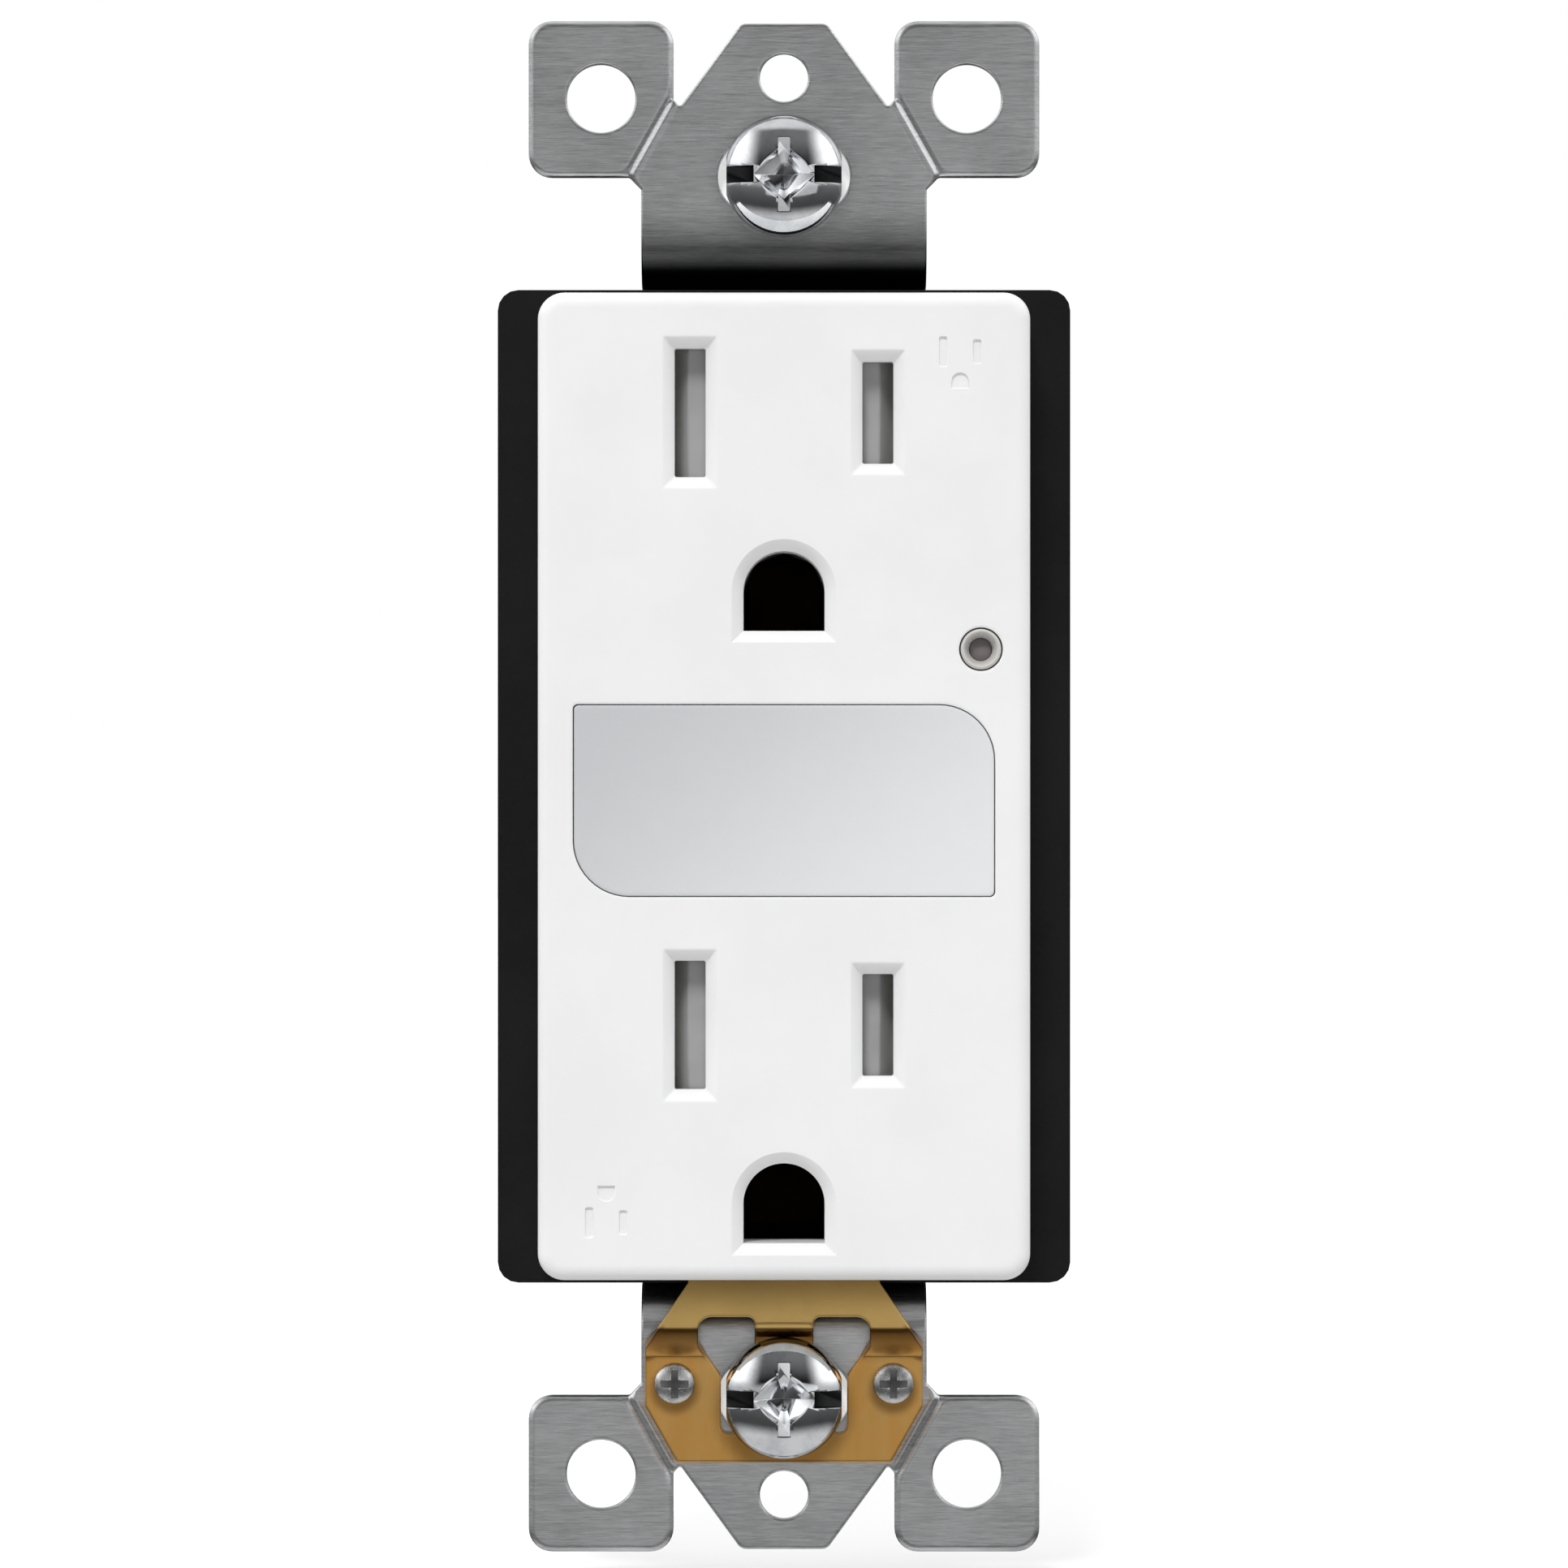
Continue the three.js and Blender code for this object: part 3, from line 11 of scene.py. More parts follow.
import logging
import math
from dataclasses import dataclass, field
from enum import Enum
from functools import partial
from typing import Callable, Sequence

import bmesh
import bpy
from mathutils import Matrix, Vector, geometry


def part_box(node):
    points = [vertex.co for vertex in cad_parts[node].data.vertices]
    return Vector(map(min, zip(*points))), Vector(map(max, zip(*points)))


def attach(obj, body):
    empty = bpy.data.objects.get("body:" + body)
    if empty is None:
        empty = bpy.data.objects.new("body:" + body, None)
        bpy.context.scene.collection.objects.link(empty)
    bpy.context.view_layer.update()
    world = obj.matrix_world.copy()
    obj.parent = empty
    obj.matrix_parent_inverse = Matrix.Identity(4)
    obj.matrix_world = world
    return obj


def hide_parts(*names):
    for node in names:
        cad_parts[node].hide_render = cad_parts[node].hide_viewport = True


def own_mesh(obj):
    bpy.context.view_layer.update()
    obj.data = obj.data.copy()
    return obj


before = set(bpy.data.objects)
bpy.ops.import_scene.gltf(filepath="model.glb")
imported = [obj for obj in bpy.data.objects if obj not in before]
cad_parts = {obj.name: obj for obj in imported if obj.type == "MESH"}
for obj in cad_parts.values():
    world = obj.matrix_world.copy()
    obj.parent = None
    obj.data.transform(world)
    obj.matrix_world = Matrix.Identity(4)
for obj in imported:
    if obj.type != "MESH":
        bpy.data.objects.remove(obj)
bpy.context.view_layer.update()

MM = 0.001
RECESS = "recess"
PITCH = 0.794
log = logging.getLogger("receptacle")

Pair = tuple[float, float]
Triple = tuple[float, float, float]
Outline = list[Pair]
Placer = Callable[[float, float], Triple]
Thing = bpy.types.Object
Material = bpy.types.Material
Socket = bpy.types.NodeSocket


# ---------- Shader and Geometry Nodes wrappers ----------


class Tree:
    """A node tree with one way to add any node."""

    def __init__(self, tree: bpy.types.NodeTree) -> None:
        """Wraps a shader or geometry node tree."""
        self.tree = tree

    def node(self, kind: str, settings: dict | None = None, inputs: dict | None = None) -> bpy.types.Node:
        """Adds a node.

        Args:
            kind: The node's type, such as ShaderNodeTexNoise.
            settings: Properties set before the sockets are read.
            inputs: Socket name or index to a number, a tuple, a material, a socket or a Channel.

        Returns:
            The new node.
        """
        made = self.tree.nodes.new(kind)
        for key, value in (settings or {}).items():
            setattr(made, key, value)
        for key, value in (inputs or {}).items():
            self.plug(made.inputs[key], value)
        return made

    def out(self, kind: str, settings: dict | None = None, inputs: dict | None = None) -> Socket:
        """Adds a node and gives its first output."""
        return self.node(kind, settings, inputs).outputs[0]

    def plug(self, socket: Socket, value: object) -> None:
        """Links a socket or Channel to an input, or sets its plain value."""
        if isinstance(value, Channel):
            value = value.socket
        if isinstance(value, Socket):
            self.tree.links.new(value, socket)
        else:
            socket.default_value = value


class Channel:
    """A number that varies over a surface, with arithmetic that adds Math nodes."""

    def __init__(self, tree: Tree, socket: Socket) -> None:
        """Wraps one output socket."""
        self.tree = tree
        self.socket = socket

    def _math(self, operation: str, *values: object, clamp: bool = False) -> Channel:
        """Adds a Math node on values, in order."""
        settings = {"operation": operation, "use_clamp": clamp}
        return Channel(self.tree, self.tree.out("ShaderNodeMath", settings, dict(enumerate(values))))

    def __add__(self, other: object) -> Channel:
        """Sum."""
        return self._math("ADD", self, other)

    __radd__ = __add__

    def __sub__(self, other: object) -> Channel:
        """Difference."""
        return self._math("SUBTRACT", self, other)

    def __rsub__(self, other: object) -> Channel:
        """Difference from a number."""
        return self._math("SUBTRACT", other, self)

    def __mul__(self, other: object) -> Channel:
        """Product."""
        return self._math("MULTIPLY", self, other)

    __rmul__ = __mul__

    def __truediv__(self, other: object) -> Channel:
        """Quotient."""
        return self._math("DIVIDE", self, other)

    def __pow__(self, other: object) -> Channel:
        """Power."""
        return self._math("POWER", self, other)

    def clamped(self) -> Channel:
        """The value held between 0 and 1."""
        return self._math("ADD", self, 0.0, clamp=True)

    def size(self) -> Channel:
        """The value without its sign."""
        return self._math("ABSOLUTE", self)

    def between(self, low: float, high: float) -> Channel:
        """A smooth rise from 0 at low to 1 at high; low may be above high."""
        inputs = {"Value": self, "From Min": low, "From Max": high}
        smooth = {"interpolation_type": "SMOOTHSTEP"}
        return Channel(self.tree, self.tree.out("ShaderNodeMapRange", smooth, inputs))


class Recipe(Tree):
    """A material being written: a Principled shader and helpers for what varies over it."""

    def __init__(self, name: str) -> None:
        """Starts a material with only a Principled shader."""
        self.material = bpy.data.materials.new(f"{name}_finish")
        self.material.use_nodes = True
        super().__init__(self.material.node_tree)
        self.tree.nodes.clear()
        self.shader = self.node("ShaderNodeBsdfPrincipled")
        self.node("ShaderNodeOutputMaterial", inputs={"Surface": self.shader.outputs[0]})
        self.place = self.node("ShaderNodeTexCoord").outputs["Object"]
        split = self.node("ShaderNodeSeparateXYZ", inputs={0: self.place})
        self.x, self.y, self.z = (Channel(self, split.outputs[i]) / MM for i in range(3))

    def stretched(self, scale: Triple) -> Socket:
        """Object coordinates scaled to patterns per millimetre along each axis."""
        per_metre = tuple(value / MM for value in scale)
        inputs = {"Vector": self.place, "Scale": per_metre}
        return self.out("ShaderNodeMapping", {"vector_type": "POINT"}, inputs)

    def noise(self, scale: Triple, detail: float = 3.0, rough: float = 0.55) -> Channel:
        """Noise with a scale in patterns per millimetre along each axis."""
        inputs = {"Vector": self.stretched(scale), "Scale": 1.0, "Detail": detail, "Roughness": rough}
        return Channel(self, self.out("ShaderNodeTexNoise", inputs=inputs))

    def cells(self, scale: Triple) -> Channel:
        """Distance to the nearest cell centre."""
        inputs = {"Vector": self.stretched(scale), "Scale": 1.0}
        return Channel(self, self.out("ShaderNodeTexVoronoi", inputs=inputs))

    def stored(self, name: str) -> Channel:
        """A number stored on the mesh's points."""
        made = self.node("ShaderNodeAttribute", {"attribute_type": "GEOMETRY", "attribute_name": name})
        return Channel(self, made.outputs["Fac"])

    def tint(self, low: Triple, high: Triple, amount: Channel) -> Socket:
        """A colour between two, by an amount that varies."""
        return self.over((*low, 1), high, amount)

    def over(self, below: object, above: Triple, amount: Channel) -> Socket:
        """A colour laid over a plain or a varying one, by an amount that varies."""
        inputs = {"Factor": amount, 6: below, 7: (*above, 1)}
        return self.node("ShaderNodeMix", {"data_type": "RGBA"}, inputs).outputs[2]

    def relief(self, height: Channel, depth_mm: float) -> None:
        """Bump of a real depth."""
        inputs = {"Height": height, "Distance": depth_mm * MM, "Strength": 1.0}
        self.plug(self.shader.inputs["Normal"], self.out("ShaderNodeBump", inputs=inputs))

    def set(self, **values: object) -> None:
        """Sets or links sockets of the shader, with spaces written as underscores."""
        for key, value in values.items():
            self.plug(self.shader.inputs[key.replace("_", " ")], value)


def near(across: Channel, up: Channel, far: float, close: float) -> Channel:
    """How near a point lies to a middle: 0 beyond far and 1 within close, in millimetres."""
    return ((across * across + up * up) ** 0.5).between(far, close)


def linear(red: int, green: int, blue: int) -> Triple:
    """A linear colour from 0-255 display values."""
    shares = [value / 255 for value in (red, green, blue)]
    return tuple(s / 12.92 if s < 0.04045 else ((s + 0.055) / 1.055) ** 2.4 for s in shares)


# ---------- Finishes ----------


@dataclass(frozen=True)
class Moulded:
    """Moulded plastic: a slightly uneven tone, a fine skin and soft wear, with a painted glow where one is
    given.
    """

    name: str
    tone: Triple
    shade: Triple
    roughness: float = 0.4
    grain: float = 6.0
    depth: float = 0.006
    coat: float = 0.0
    shine: float = 0.5
    # a painted glow, for a piece that must read brighter than its light gives
    painted_glow: float = 0.0

    def material(self) -> Material:
        """Writes the material."""
        made = Recipe(self.name)
        cloud = made.noise((0.09, 0.09, 0.09), 4.0, 0.6)
        skin = made.noise((self.grain,) * 3, 2.0, 0.5)
        made.set(
            Base_Color=made.tint(self.shade, self.tone, cloud.between(0.25, 0.7)),
            Roughness=self.roughness + 0.1 * (cloud - 0.5) + 0.06 * (skin - 0.5),
            Coat_Weight=self.coat,
            Coat_Roughness=0.15,
            Specular_IOR_Level=self.shine,
            Emission_Color=(*self.tone, 1.0),
            Emission_Strength=self.painted_glow,
        )
        made.relief(skin + 0.4 * cloud, self.depth)
        return made.material


@dataclass(frozen=True)
class Diffuser:
    """Frosted window over the guide light, with painted shade: darker towards one corner, lighter towards the
    other.
    """

    name: str
    # The two tones are the ends of a painted shading gradient: the first at the darker corner, the second at
    # the lighter one.
    shaded_corner: Triple
    clear: Triple

    def material(self) -> Material:
        """Writes the material."""
        made = Recipe(self.name)
        # painted shade: a diagonal gradient across the window
        across = (made.x / 28.0) - (made.z / 24.0)
        haze = made.noise((0.5, 0.5, 0.5), 3.0)
        frost = made.cells((7.0, 7.0, 7.0))
        made.set(
            Base_Color=made.tint(self.shaded_corner, self.clear, (across + 0.12 * (haze - 0.5)).between(-0.75, 0.85)),
            Roughness=0.36 + 0.12 * haze,
            Coat_Weight=0.25,
            Coat_Roughness=0.2,
        )
        made.relief(frost, 0.004)
        return made.material


@dataclass(frozen=True)
class Brushed:
    """Plated steel sheet brushed across, with painted shade at its bends and a painted shadow round each
    screw head.
    """

    name: str
    bright: Triple
    dull: Triple
    # the painted shade colour, laid over the bends and round the screw heads
    deep: Triple
    upper_bend: Pair
    lower_bend: Pair

    def material(self) -> Material:
        """Writes the material."""
        made = Recipe(self.name)
        coarse = made.noise((0.22, 1.6, 4.5), 5.0, 0.7)
        fine = made.noise((0.7, 6.0, 17.0), 4.0, 0.75)
        cloud = made.noise((0.12, 0.12, 0.12), 3.0)
        streaks = 0.4 * coarse + 0.6 * fine
        body = made.tint(self.dull, self.bright, (streaks + 0.35 * (cloud - 0.5)).between(0.32, 0.68))
        # painted shade: the strap darkened where it turns at its bends, less at the lower end
        upper = made.z.between(*self.upper_bend) * made.z.between(0.0, 1.0)
        lower = made.z.between(*self.lower_bend) * made.z.between(0.0, -1.0)
        bend = (upper + 0.4 * lower) * made.y.between(6.0, 3.0)
        # painted shadow: the strap darkened round the mounting screw heads
        head = near(made.x, made.z.size() - 41.4, 5.4, 3.8) * 0.25
        made.set(
            Base_Color=made.over(made.over(body, self.deep, bend), self.deep, head),
            Metallic=1.0,
            Roughness=0.34 + 0.22 * (streaks - 0.5) + 0.12 * (cloud - 0.5),
        )
        made.relief(streaks, 0.012)
        return made.material


@dataclass(frozen=True)
class Plated:
    """Bright plating over turned or pressed metal, with polishing marks, faint smudges and painted shade in
    the recesses of heads.
    """

    name: str
    bright: Triple
    dull: Triple
    roughness: float
    mark: float = 0.003
    scale: float = 1.2
    # the painted shade colour in the recesses
    recess_shade_tone: Triple = (0.012, 0.012, 0.013)

    def material(self) -> Material:
        """Writes the material."""
        made = Recipe(self.name)
        smudge = made.noise((0.45 * self.scale,) * 3, 4.0, 0.6)
        marks = made.noise((6.0 * self.scale, 6.0 * self.scale, 1.5 * self.scale), 4.0, 0.7)
        recess = made.stored(RECESS)
        plate = made.tint(self.dull, self.bright, smudge.between(0.3, 0.62))
        made.set(
            # painted shade: darker where a point lies deep in a recess
            Base_Color=made.over(plate, self.recess_shade_tone, recess),
            Metallic=1.0,
            Roughness=self.roughness + 0.12 * (smudge - 0.45).clamped() + 0.05 * marks + 0.3 * recess,
        )
        made.relief(marks, self.mark)
        return made.material


@dataclass(frozen=True)
class BrassSheet:
    """Rolled brass strip: golden on its flats and olive on its shelf, with painted shade on the top of the
    shelf and on the slope down to the strap, and painted shadows round the screw head and the rivets.
    """

    name: str
    gold: Triple
    pale: Triple
    # the painted shade colour of the bracket
    shade_brown: Triple
    olive: Triple

    def material(self) -> Material:
        """Writes the material."""
        made = Recipe(self.name)
        roll = made.noise((0.5, 2.0, 0.09), 4.0, 0.6)
        cloud = made.noise((0.22, 0.22, 0.22), 3.0)
        speck = made.noise((4.0, 4.0, 4.0), 2.0)
        body = made.tint(self.gold, self.pale, (0.5 * roll + 0.5 * cloud).between(0.35, 0.66))
        shelf = made.over(body, self.olive, made.z.between(-37.0, -36.8) * 0.75)
        # painted shade: the top of the shelf browned under the cover's edge
        shaded = made.over(shelf, self.shade_brown, made.z.between(-36.4, -33.4) * 0.7)
        # painted shade: the slope down to the strap browned where it faces downwards
        slope_shade = made.z.between(-36.75, -36.95) * made.z.between(-39.6, -37.2) * 0.9
        slope = made.over(shaded, self.shade_brown, slope_shade)
        # painted shadows: the bracket browned round the screw head and the two rivets
        head_shadows = near(made.x, made.z + 42.5, 5.3, 3.8) * 0.55
        rivets = near(made.x.size() - 7.45, made.z + 41.15, 2.0, 1.2) * 0.6
        made.set(
            Base_Color=made.over(made.over(slope, self.shade_brown, head_shadows), self.shade_brown, rivets),
            Metallic=1.0,
            Roughness=0.33 + 0.16 * (cloud - 0.5) + 0.08 * (speck - 0.5),
        )
        made.relief(0.7 * roll + 0.3 * speck, 0.006)
        return made.material


@dataclass(frozen=True)
class BoardLaminate:
    """Solder mask over glass laminate, with faint tracks under it."""

    name: str
    mask: Triple
    track: Triple

    def material(self) -> Material:
        """Writes the material."""
        made = Recipe(self.name)
        weave = made.noise((3.0, 3.0, 3.0), 2.0)
        lines = made.cells((0.32, 0.32, 0.32))
        tracks = lines.between(0.46, 0.5) * lines.between(0.6, 0.56)
        made.set(
            Base_Color=made.tint(self.mask, self.track, (tracks + 0.2 * (weave - 0.5)).clamped()),
            Roughness=0.3 + 0.1 * weave,
        )
        made.relief(tracks + 0.2 * weave, 0.02)
        return made.material


class Finish(Enum):
    """The finish of every piece."""

    COVER = Moulded("cover_white", linear(239, 239, 239), linear(234, 234, 234), 0.38, 5.0, 0.004, 0.1)
    REFLECTOR = Moulded("reflector_white", linear(244, 244, 242), linear(236, 236, 232), 0.5)
    HOUSING = Moulded("housing_black", linear(27, 27, 27), linear(21, 21, 21), 0.5, 3.5, 0.02, 0.0, 0.14)
    RETAINER = Moulded("retainer_black", linear(42, 42, 42), linear(32, 32, 32), 0.55, 3.0, 0.015)
    SHUTTER = Moulded("shutter_grey", linear(172, 172, 172), linear(150, 150, 150), 0.45, 4.0, 0.008)
    TRAY = Moulded("tray_nylon", linear(236, 235, 228), linear(220, 219, 212), 0.5)
    # painted light: the nylon washer glows so that it reads bright in the screw head's shadow
    WASHER = Moulded("washer_nylon", linear(246, 246, 245), linear(238, 238, 236), 0.45, painted_glow=0.5)
    BEZEL = Moulded("bezel_grey", linear(206, 204, 200), linear(188, 186, 182), 0.28, 5.0, 0.003, 0.4)
    SENSOR = Moulded("sensor_dark", linear(124, 117, 116), linear(100, 95, 94), 0.3, 9.0, 0.01, 0.6)
    FILM = Moulded("film_red", linear(150, 58, 42), linear(120, 42, 30), 0.3, 3.0, 0.02, 0.4)
    COMPONENT = Moulded("component_black", linear(40, 40, 42), linear(26, 26, 28), 0.4, 6.0, 0.01)
    RESISTOR = Moulded("resistor_tan", linear(200, 180, 148), linear(180, 158, 124), 0.45, 4.0, 0.01)
    LED = Moulded("led_yellow", linear(240, 222, 150), linear(226, 200, 110), 0.35, 6.0, 0.006, 0.3)
    LEAD_BLACK = Moulded("lead_black", linear(34, 34, 34), linear(22, 22, 22), 0.42, 5.0, 0.01)
    LEAD_WHITE = Moulded("lead_white", linear(232, 232, 228), linear(214, 214, 208), 0.42, 5.0, 0.01)
    LENS = Diffuser("lens_frosted", linear(194, 195, 198), linear(228, 229, 230))
    STRAP = Brushed(
        "strap_steel",
        linear(238, 239, 240),
        linear(182, 183, 184),
        linear(24, 24, 25),
        (40.4, 35.0),
        (-36.8, -33.4),
    )
    BOARD = BoardLaminate("board_green", linear(24, 78, 46), linear(58, 118, 74))
    BRACKET = BrassSheet(
        "bracket_brass",
        linear(236, 176, 94),
        linear(242, 194, 118),
        linear(92, 62, 28),
        linear(236, 202, 128),
    )
    CONTACT = Plated("contact_brass", linear(224, 186, 112), linear(184, 142, 76), 0.3)
    GRIP = Plated("ground_grip", linear(52, 40, 26), linear(32, 25, 16), 0.55)
    CHROME = Plated("screw_chrome", linear(240, 242, 244), linear(214, 217, 221), 0.04, 0.0008)
    RIVET = Plated(
        "rivet_steel", linear(232, 232, 232), linear(170, 170, 170), 0.24, 0.02, 2.2, linear(104, 104, 104)
    )
    ZINC = Plated("screw_zinc", linear(210, 212, 214), linear(170, 173, 176), 0.22)
    CLAMP = Plated("clamp_zinc", linear(198, 200, 202), linear(158, 161, 164), 0.28, 0.006)
    SCREW_BRASS = Plated("screw_brass", linear(230, 192, 112), linear(196, 152, 80), 0.2)
    GREEN = Plated("screw_green", linear(70, 142, 84), linear(36, 92, 52), 0.3)
    SPRING = Plated("spring_steel", linear(204, 205, 208), linear(160, 162, 165), 0.22, 0.002)

    def material(self) -> Material:
        """The finish's material, written once."""
        if self not in WRITTEN:
            WRITTEN[self] = self.value.material()
        return WRITTEN[self]


WRITTEN: dict[Finish, Material] = {}


# ---------- Outlines ----------


def rounded(corners: Sequence[Triple], steps: int = 7) -> Outline:
    """An outline with rounded corners.

    Args:
        corners: (u, v, radius) of each corner, in order.
        steps: Points on each corner's arc.

    Returns:
        The outline's points, anticlockwise.
    """
    made: Outline = []
    count = len(corners)
    for i, (u, v, wanted) in enumerate(corners):
        here = Vector((u, v))
        back = Vector(corners[i - 1][:2]) - here
        on = Vector(corners[(i + 1) % count][:2]) - here
        half = back.angle(on) / 2
        radius = min(wanted, 0.49 * min(back.length, on.length) * math.tan(half))
        if radius < 1e-3 or half > 1.56:
            made.append((u, v))
            continue
        centre = here + (back.normalized() + on.normalized()).normalized() * (radius / math.sin(half))
        first = here + back.normalized() * (radius / math.tan(half)) - centre
        last = here + on.normalized() * (radius / math.tan(half)) - centre
        start = math.atan2(first.y, first.x)
        sweep = (math.atan2(last.y, last.x) - start + math.pi) % (2 * math.pi) - math.pi
        for k in range(steps + 1):
            angle = start + sweep * k / steps
            made.append((centre.x + radius * math.cos(angle), centre.y + radius * math.sin(angle)))
    return anticlockwise(made)


def anticlockwise(outline: Outline) -> Outline:
    """The outline with its points in anticlockwise order."""
    area = sum(a[0] * b[1] - b[0] * a[1] for a, b in zip(outline, outline[1:] + outline[:1]))
    return outline if area > 0 else outline[::-1]


def rectangle(
    u: float, v: float, width: float, height: float, radii: Sequence[float], steps: int = 7
) -> Outline:
    """A rectangle round (u, v), its radii from the lower left corner on, anticlockwise."""
    w, h = width / 2, height / 2
    places = ((u - w, v - h), (u + w, v - h), (u + w, v + h), (u - w, v + h))
    return rounded([(*place, radius) for place, radius in zip(places, radii)], steps)


def circle(u: float, v: float, radius: float, count: int = 48) -> Outline:
    """A circle round (u, v)."""
    turns = [2 * math.pi * k / count for k in range(count)]
    return [(u + radius * math.cos(t), v + radius * math.sin(t)) for t in turns]


def mirrored(half: Sequence[Triple]) -> list[Triple]:
    """Corners on one side of the middle, and the same ones on the other side."""
    return [*half, *[(-u, v, radius) for u, v, radius in reversed(half)]]


def divided(outline: Outline, longest: float) -> Outline:
    """The outline with its long edges divided."""
    made: Outline = []
    for (u0, v0), (u1, v1) in zip(outline, outline[1:] + outline[:1]):
        pieces = max(1, math.ceil(math.hypot(u1 - u0, v1 - v0) / longest))
        made += [(u0 + (u1 - u0) * k / pieces, v0 + (v1 - v0) * k / pieces) for k in range(pieces)]
    return made


def inset(outline: Outline, by: float | Sequence[float]) -> Outline:
    """The outline moved inwards by a small distance, or by one for each point; negative is outwards."""
    made: Outline = []
    amounts = [by] * len(outline) if isinstance(by, (int, float)) else by
    for i, point in enumerate(outline):
        here = Vector(point)
        into = (here - Vector(outline[i - 1])).normalized()
        on = (Vector(outline[(i + 1) % len(outline)]) - here).normalized()
        normal = Vector((-into.y - on.y, into.x + on.x)) / max(1 + into.dot(on), 0.35)
        made.append((here.x + normal.x * amounts[i], here.y + normal.y * amounts[i]))
    return made


def inside(point: Vector, outline: Outline) -> bool:
    """Whether a point lies inside an outline."""
    across = [u for u, _ in outline]
    if not min(across) < point.x < max(across):
        return False
    crossings = 0
    for (u0, v0), (u1, v1) in zip(outline, outline[1:] + outline[:1]):
        if (v0 > point.y) != (v1 > point.y) and point.x < u0 + (point.y - v0) * (u1 - u0) / (v1 - v0):
            crossings += 1
    return crossings % 2 == 1


# ---------- Meshes ----------


class Shell:
    """Collects the rings and caps of one closed piece, in millimetres."""

    def __init__(self) -> None:
        """Starts an empty piece."""
        self.mesh = bmesh.new()

    def wall(self, rings: Sequence[Sequence[Triple]]) -> None:
        """Joins each closed ring to the next."""
        rows = [[self.mesh.verts.new(point) for point in ring] for ring in rings]
        for low, high in zip(rows, rows[1:]):
            for i in range(len(low)):
                j = (i + 1) % len(low)
                self.mesh.faces.new((low[i], low[j], high[j], high[i]))

    def sleeve(self, shape: Callable[[float], Outline], steps: Sequence[Pair]) -> None:
        """A wall that follows an outline in X and Z through (growth, y) steps."""
        self.wall([[(u, y, v) for u, v in shape(grow)] for grow, y in steps])

    def fan(self, ring: Sequence[Triple], tip: Triple) -> None:
        """Closes a ring with triangles that meet in a point."""
        point = self.mesh.verts.new(tip)
        around = [self.mesh.verts.new(corner) for corner in ring]
        for corner, after in zip(around, around[1:] + around[:1]):
            self.mesh.faces.new((corner, after, point))

    def lid(self, outline: Outline, y: float, holes: Sequence[Outline] = ()) -> None:
        """Fills an outline in X and Z at one depth."""
        self.cap(outline, holes, lambda u, v: (u, y, v))

    def cap(
        self, outline: Outline, holes: Sequence[Outline], place: Placer, extra: Sequence[Pair] = ()
    ) -> None:
        """Fills an outline with holes.

        Args:
            outline: The outer edge.
            holes: Edges of the openings.
            place: Gives the point in space of each (u, v).
            extra: Points inside, for a surface that isn't flat.
        """
        points: list[Vector] = []
        edges: list[tuple[int, int]] = []
        for loop in (outline, *holes):
            first = len(points)
            points += [Vector(point) for point in loop]
            edges += [(first + i, first + (i + 1) % len(loop)) for i in range(len(loop))]
        points += [Vector(point) for point in extra]
        found = geometry.delaunay_2d_cdt(points, edges, [], 2, 1e-5)
        corners = [self.mesh.verts.new(place(*point)) for point in found[0]]
        for face in found[2]:
            centre = sum((found[0][i] for i in face), Vector((0.0, 0.0))) / len(face)
            if not any(inside(centre, hole) for hole in holes):
                self.mesh.faces.new([corners[i] for i in face])

    def turned(self, profile: Sequence[Pair], sides: int = 64, middle: Pair = (0.0, 0.0)) -> None:
        """A turned form about the Y axis, from (radius, y) points that start and end on the axis."""
        self.sleeve(lambda radius: circle(*middle, radius, sides), profile[1:-1])
        for (radius, y), (_, end) in ((profile[1], profile[0]), (profile[-2], profile[-1])):
            ring = [(u, y, v) for u, v in circle(*middle, radius, sides)]
            self.fan(ring, (middle[0], end, middle[1]))

    def finished(self, name: str, crease: float = 32.0) -> Thing:
        """Makes the object.

        Args:
            name: The piece's name.
            crease: Edges that turn more than this many degrees stay sharp.

        Returns:
            The object, in metres.
        """
        made = self.mesh
        bmesh.ops.remove_doubles(made, verts=made.verts, dist=0.002)
        loose = [vertex for vertex in made.verts if not vertex.link_faces]
        bmesh.ops.delete(made, geom=loose, context="VERTS")
        bmesh.ops.recalc_face_normals(made, faces=made.faces)
        bmesh.ops.scale(made, vec=(MM,) * 3, verts=made.verts)
        return as_object(made, name, crease)


def as_object(made: bmesh.types.BMesh, name: str, crease: float = 32.0) -> Thing:
    """A shaded object from a bmesh in metres, which is freed."""
    for face in made.faces:
        face.smooth = True
    for edge in made.edges:
        edge.smooth = edge.calc_face_angle(0.0) < math.radians(crease)
    mesh = bpy.data.meshes.new(name)
    made.to_mesh(mesh)
    made.free()
    return link(mesh, name)


def link(mesh: bpy.types.Mesh, name: str) -> Thing:
    """An object for a mesh, in the scene."""
    thing = bpy.data.objects.new(name, mesh)
    bpy.context.scene.collection.objects.link(thing)
    return thing


def settle(thing: Thing) -> Thing:
    """Turns an object with modifiers into a plain mesh."""
    evaluated = thing.evaluated_get(bpy.context.evaluated_depsgraph_get())
    mesh = bpy.data.meshes.new_from_object(evaluated)
    thing.modifiers.clear()
    thing.data = mesh
    mesh.name = thing.name
    return thing


def bevelled(thing: Thing, width: float, segments: int = 2, angle: float = 30.0) -> Thing:
    """Rounds an object's edges by a width in millimetres."""
    made = thing.modifiers.new("edges", "BEVEL")
    made.width = width * MM
    made.segments = segments
    made.limit_method = "ANGLE"
    made.angle_limit = math.radians(angle)
    made.use_clamp_overlap = True
    made.miter_outer = "MITER_ARC"
    return settle(thing)


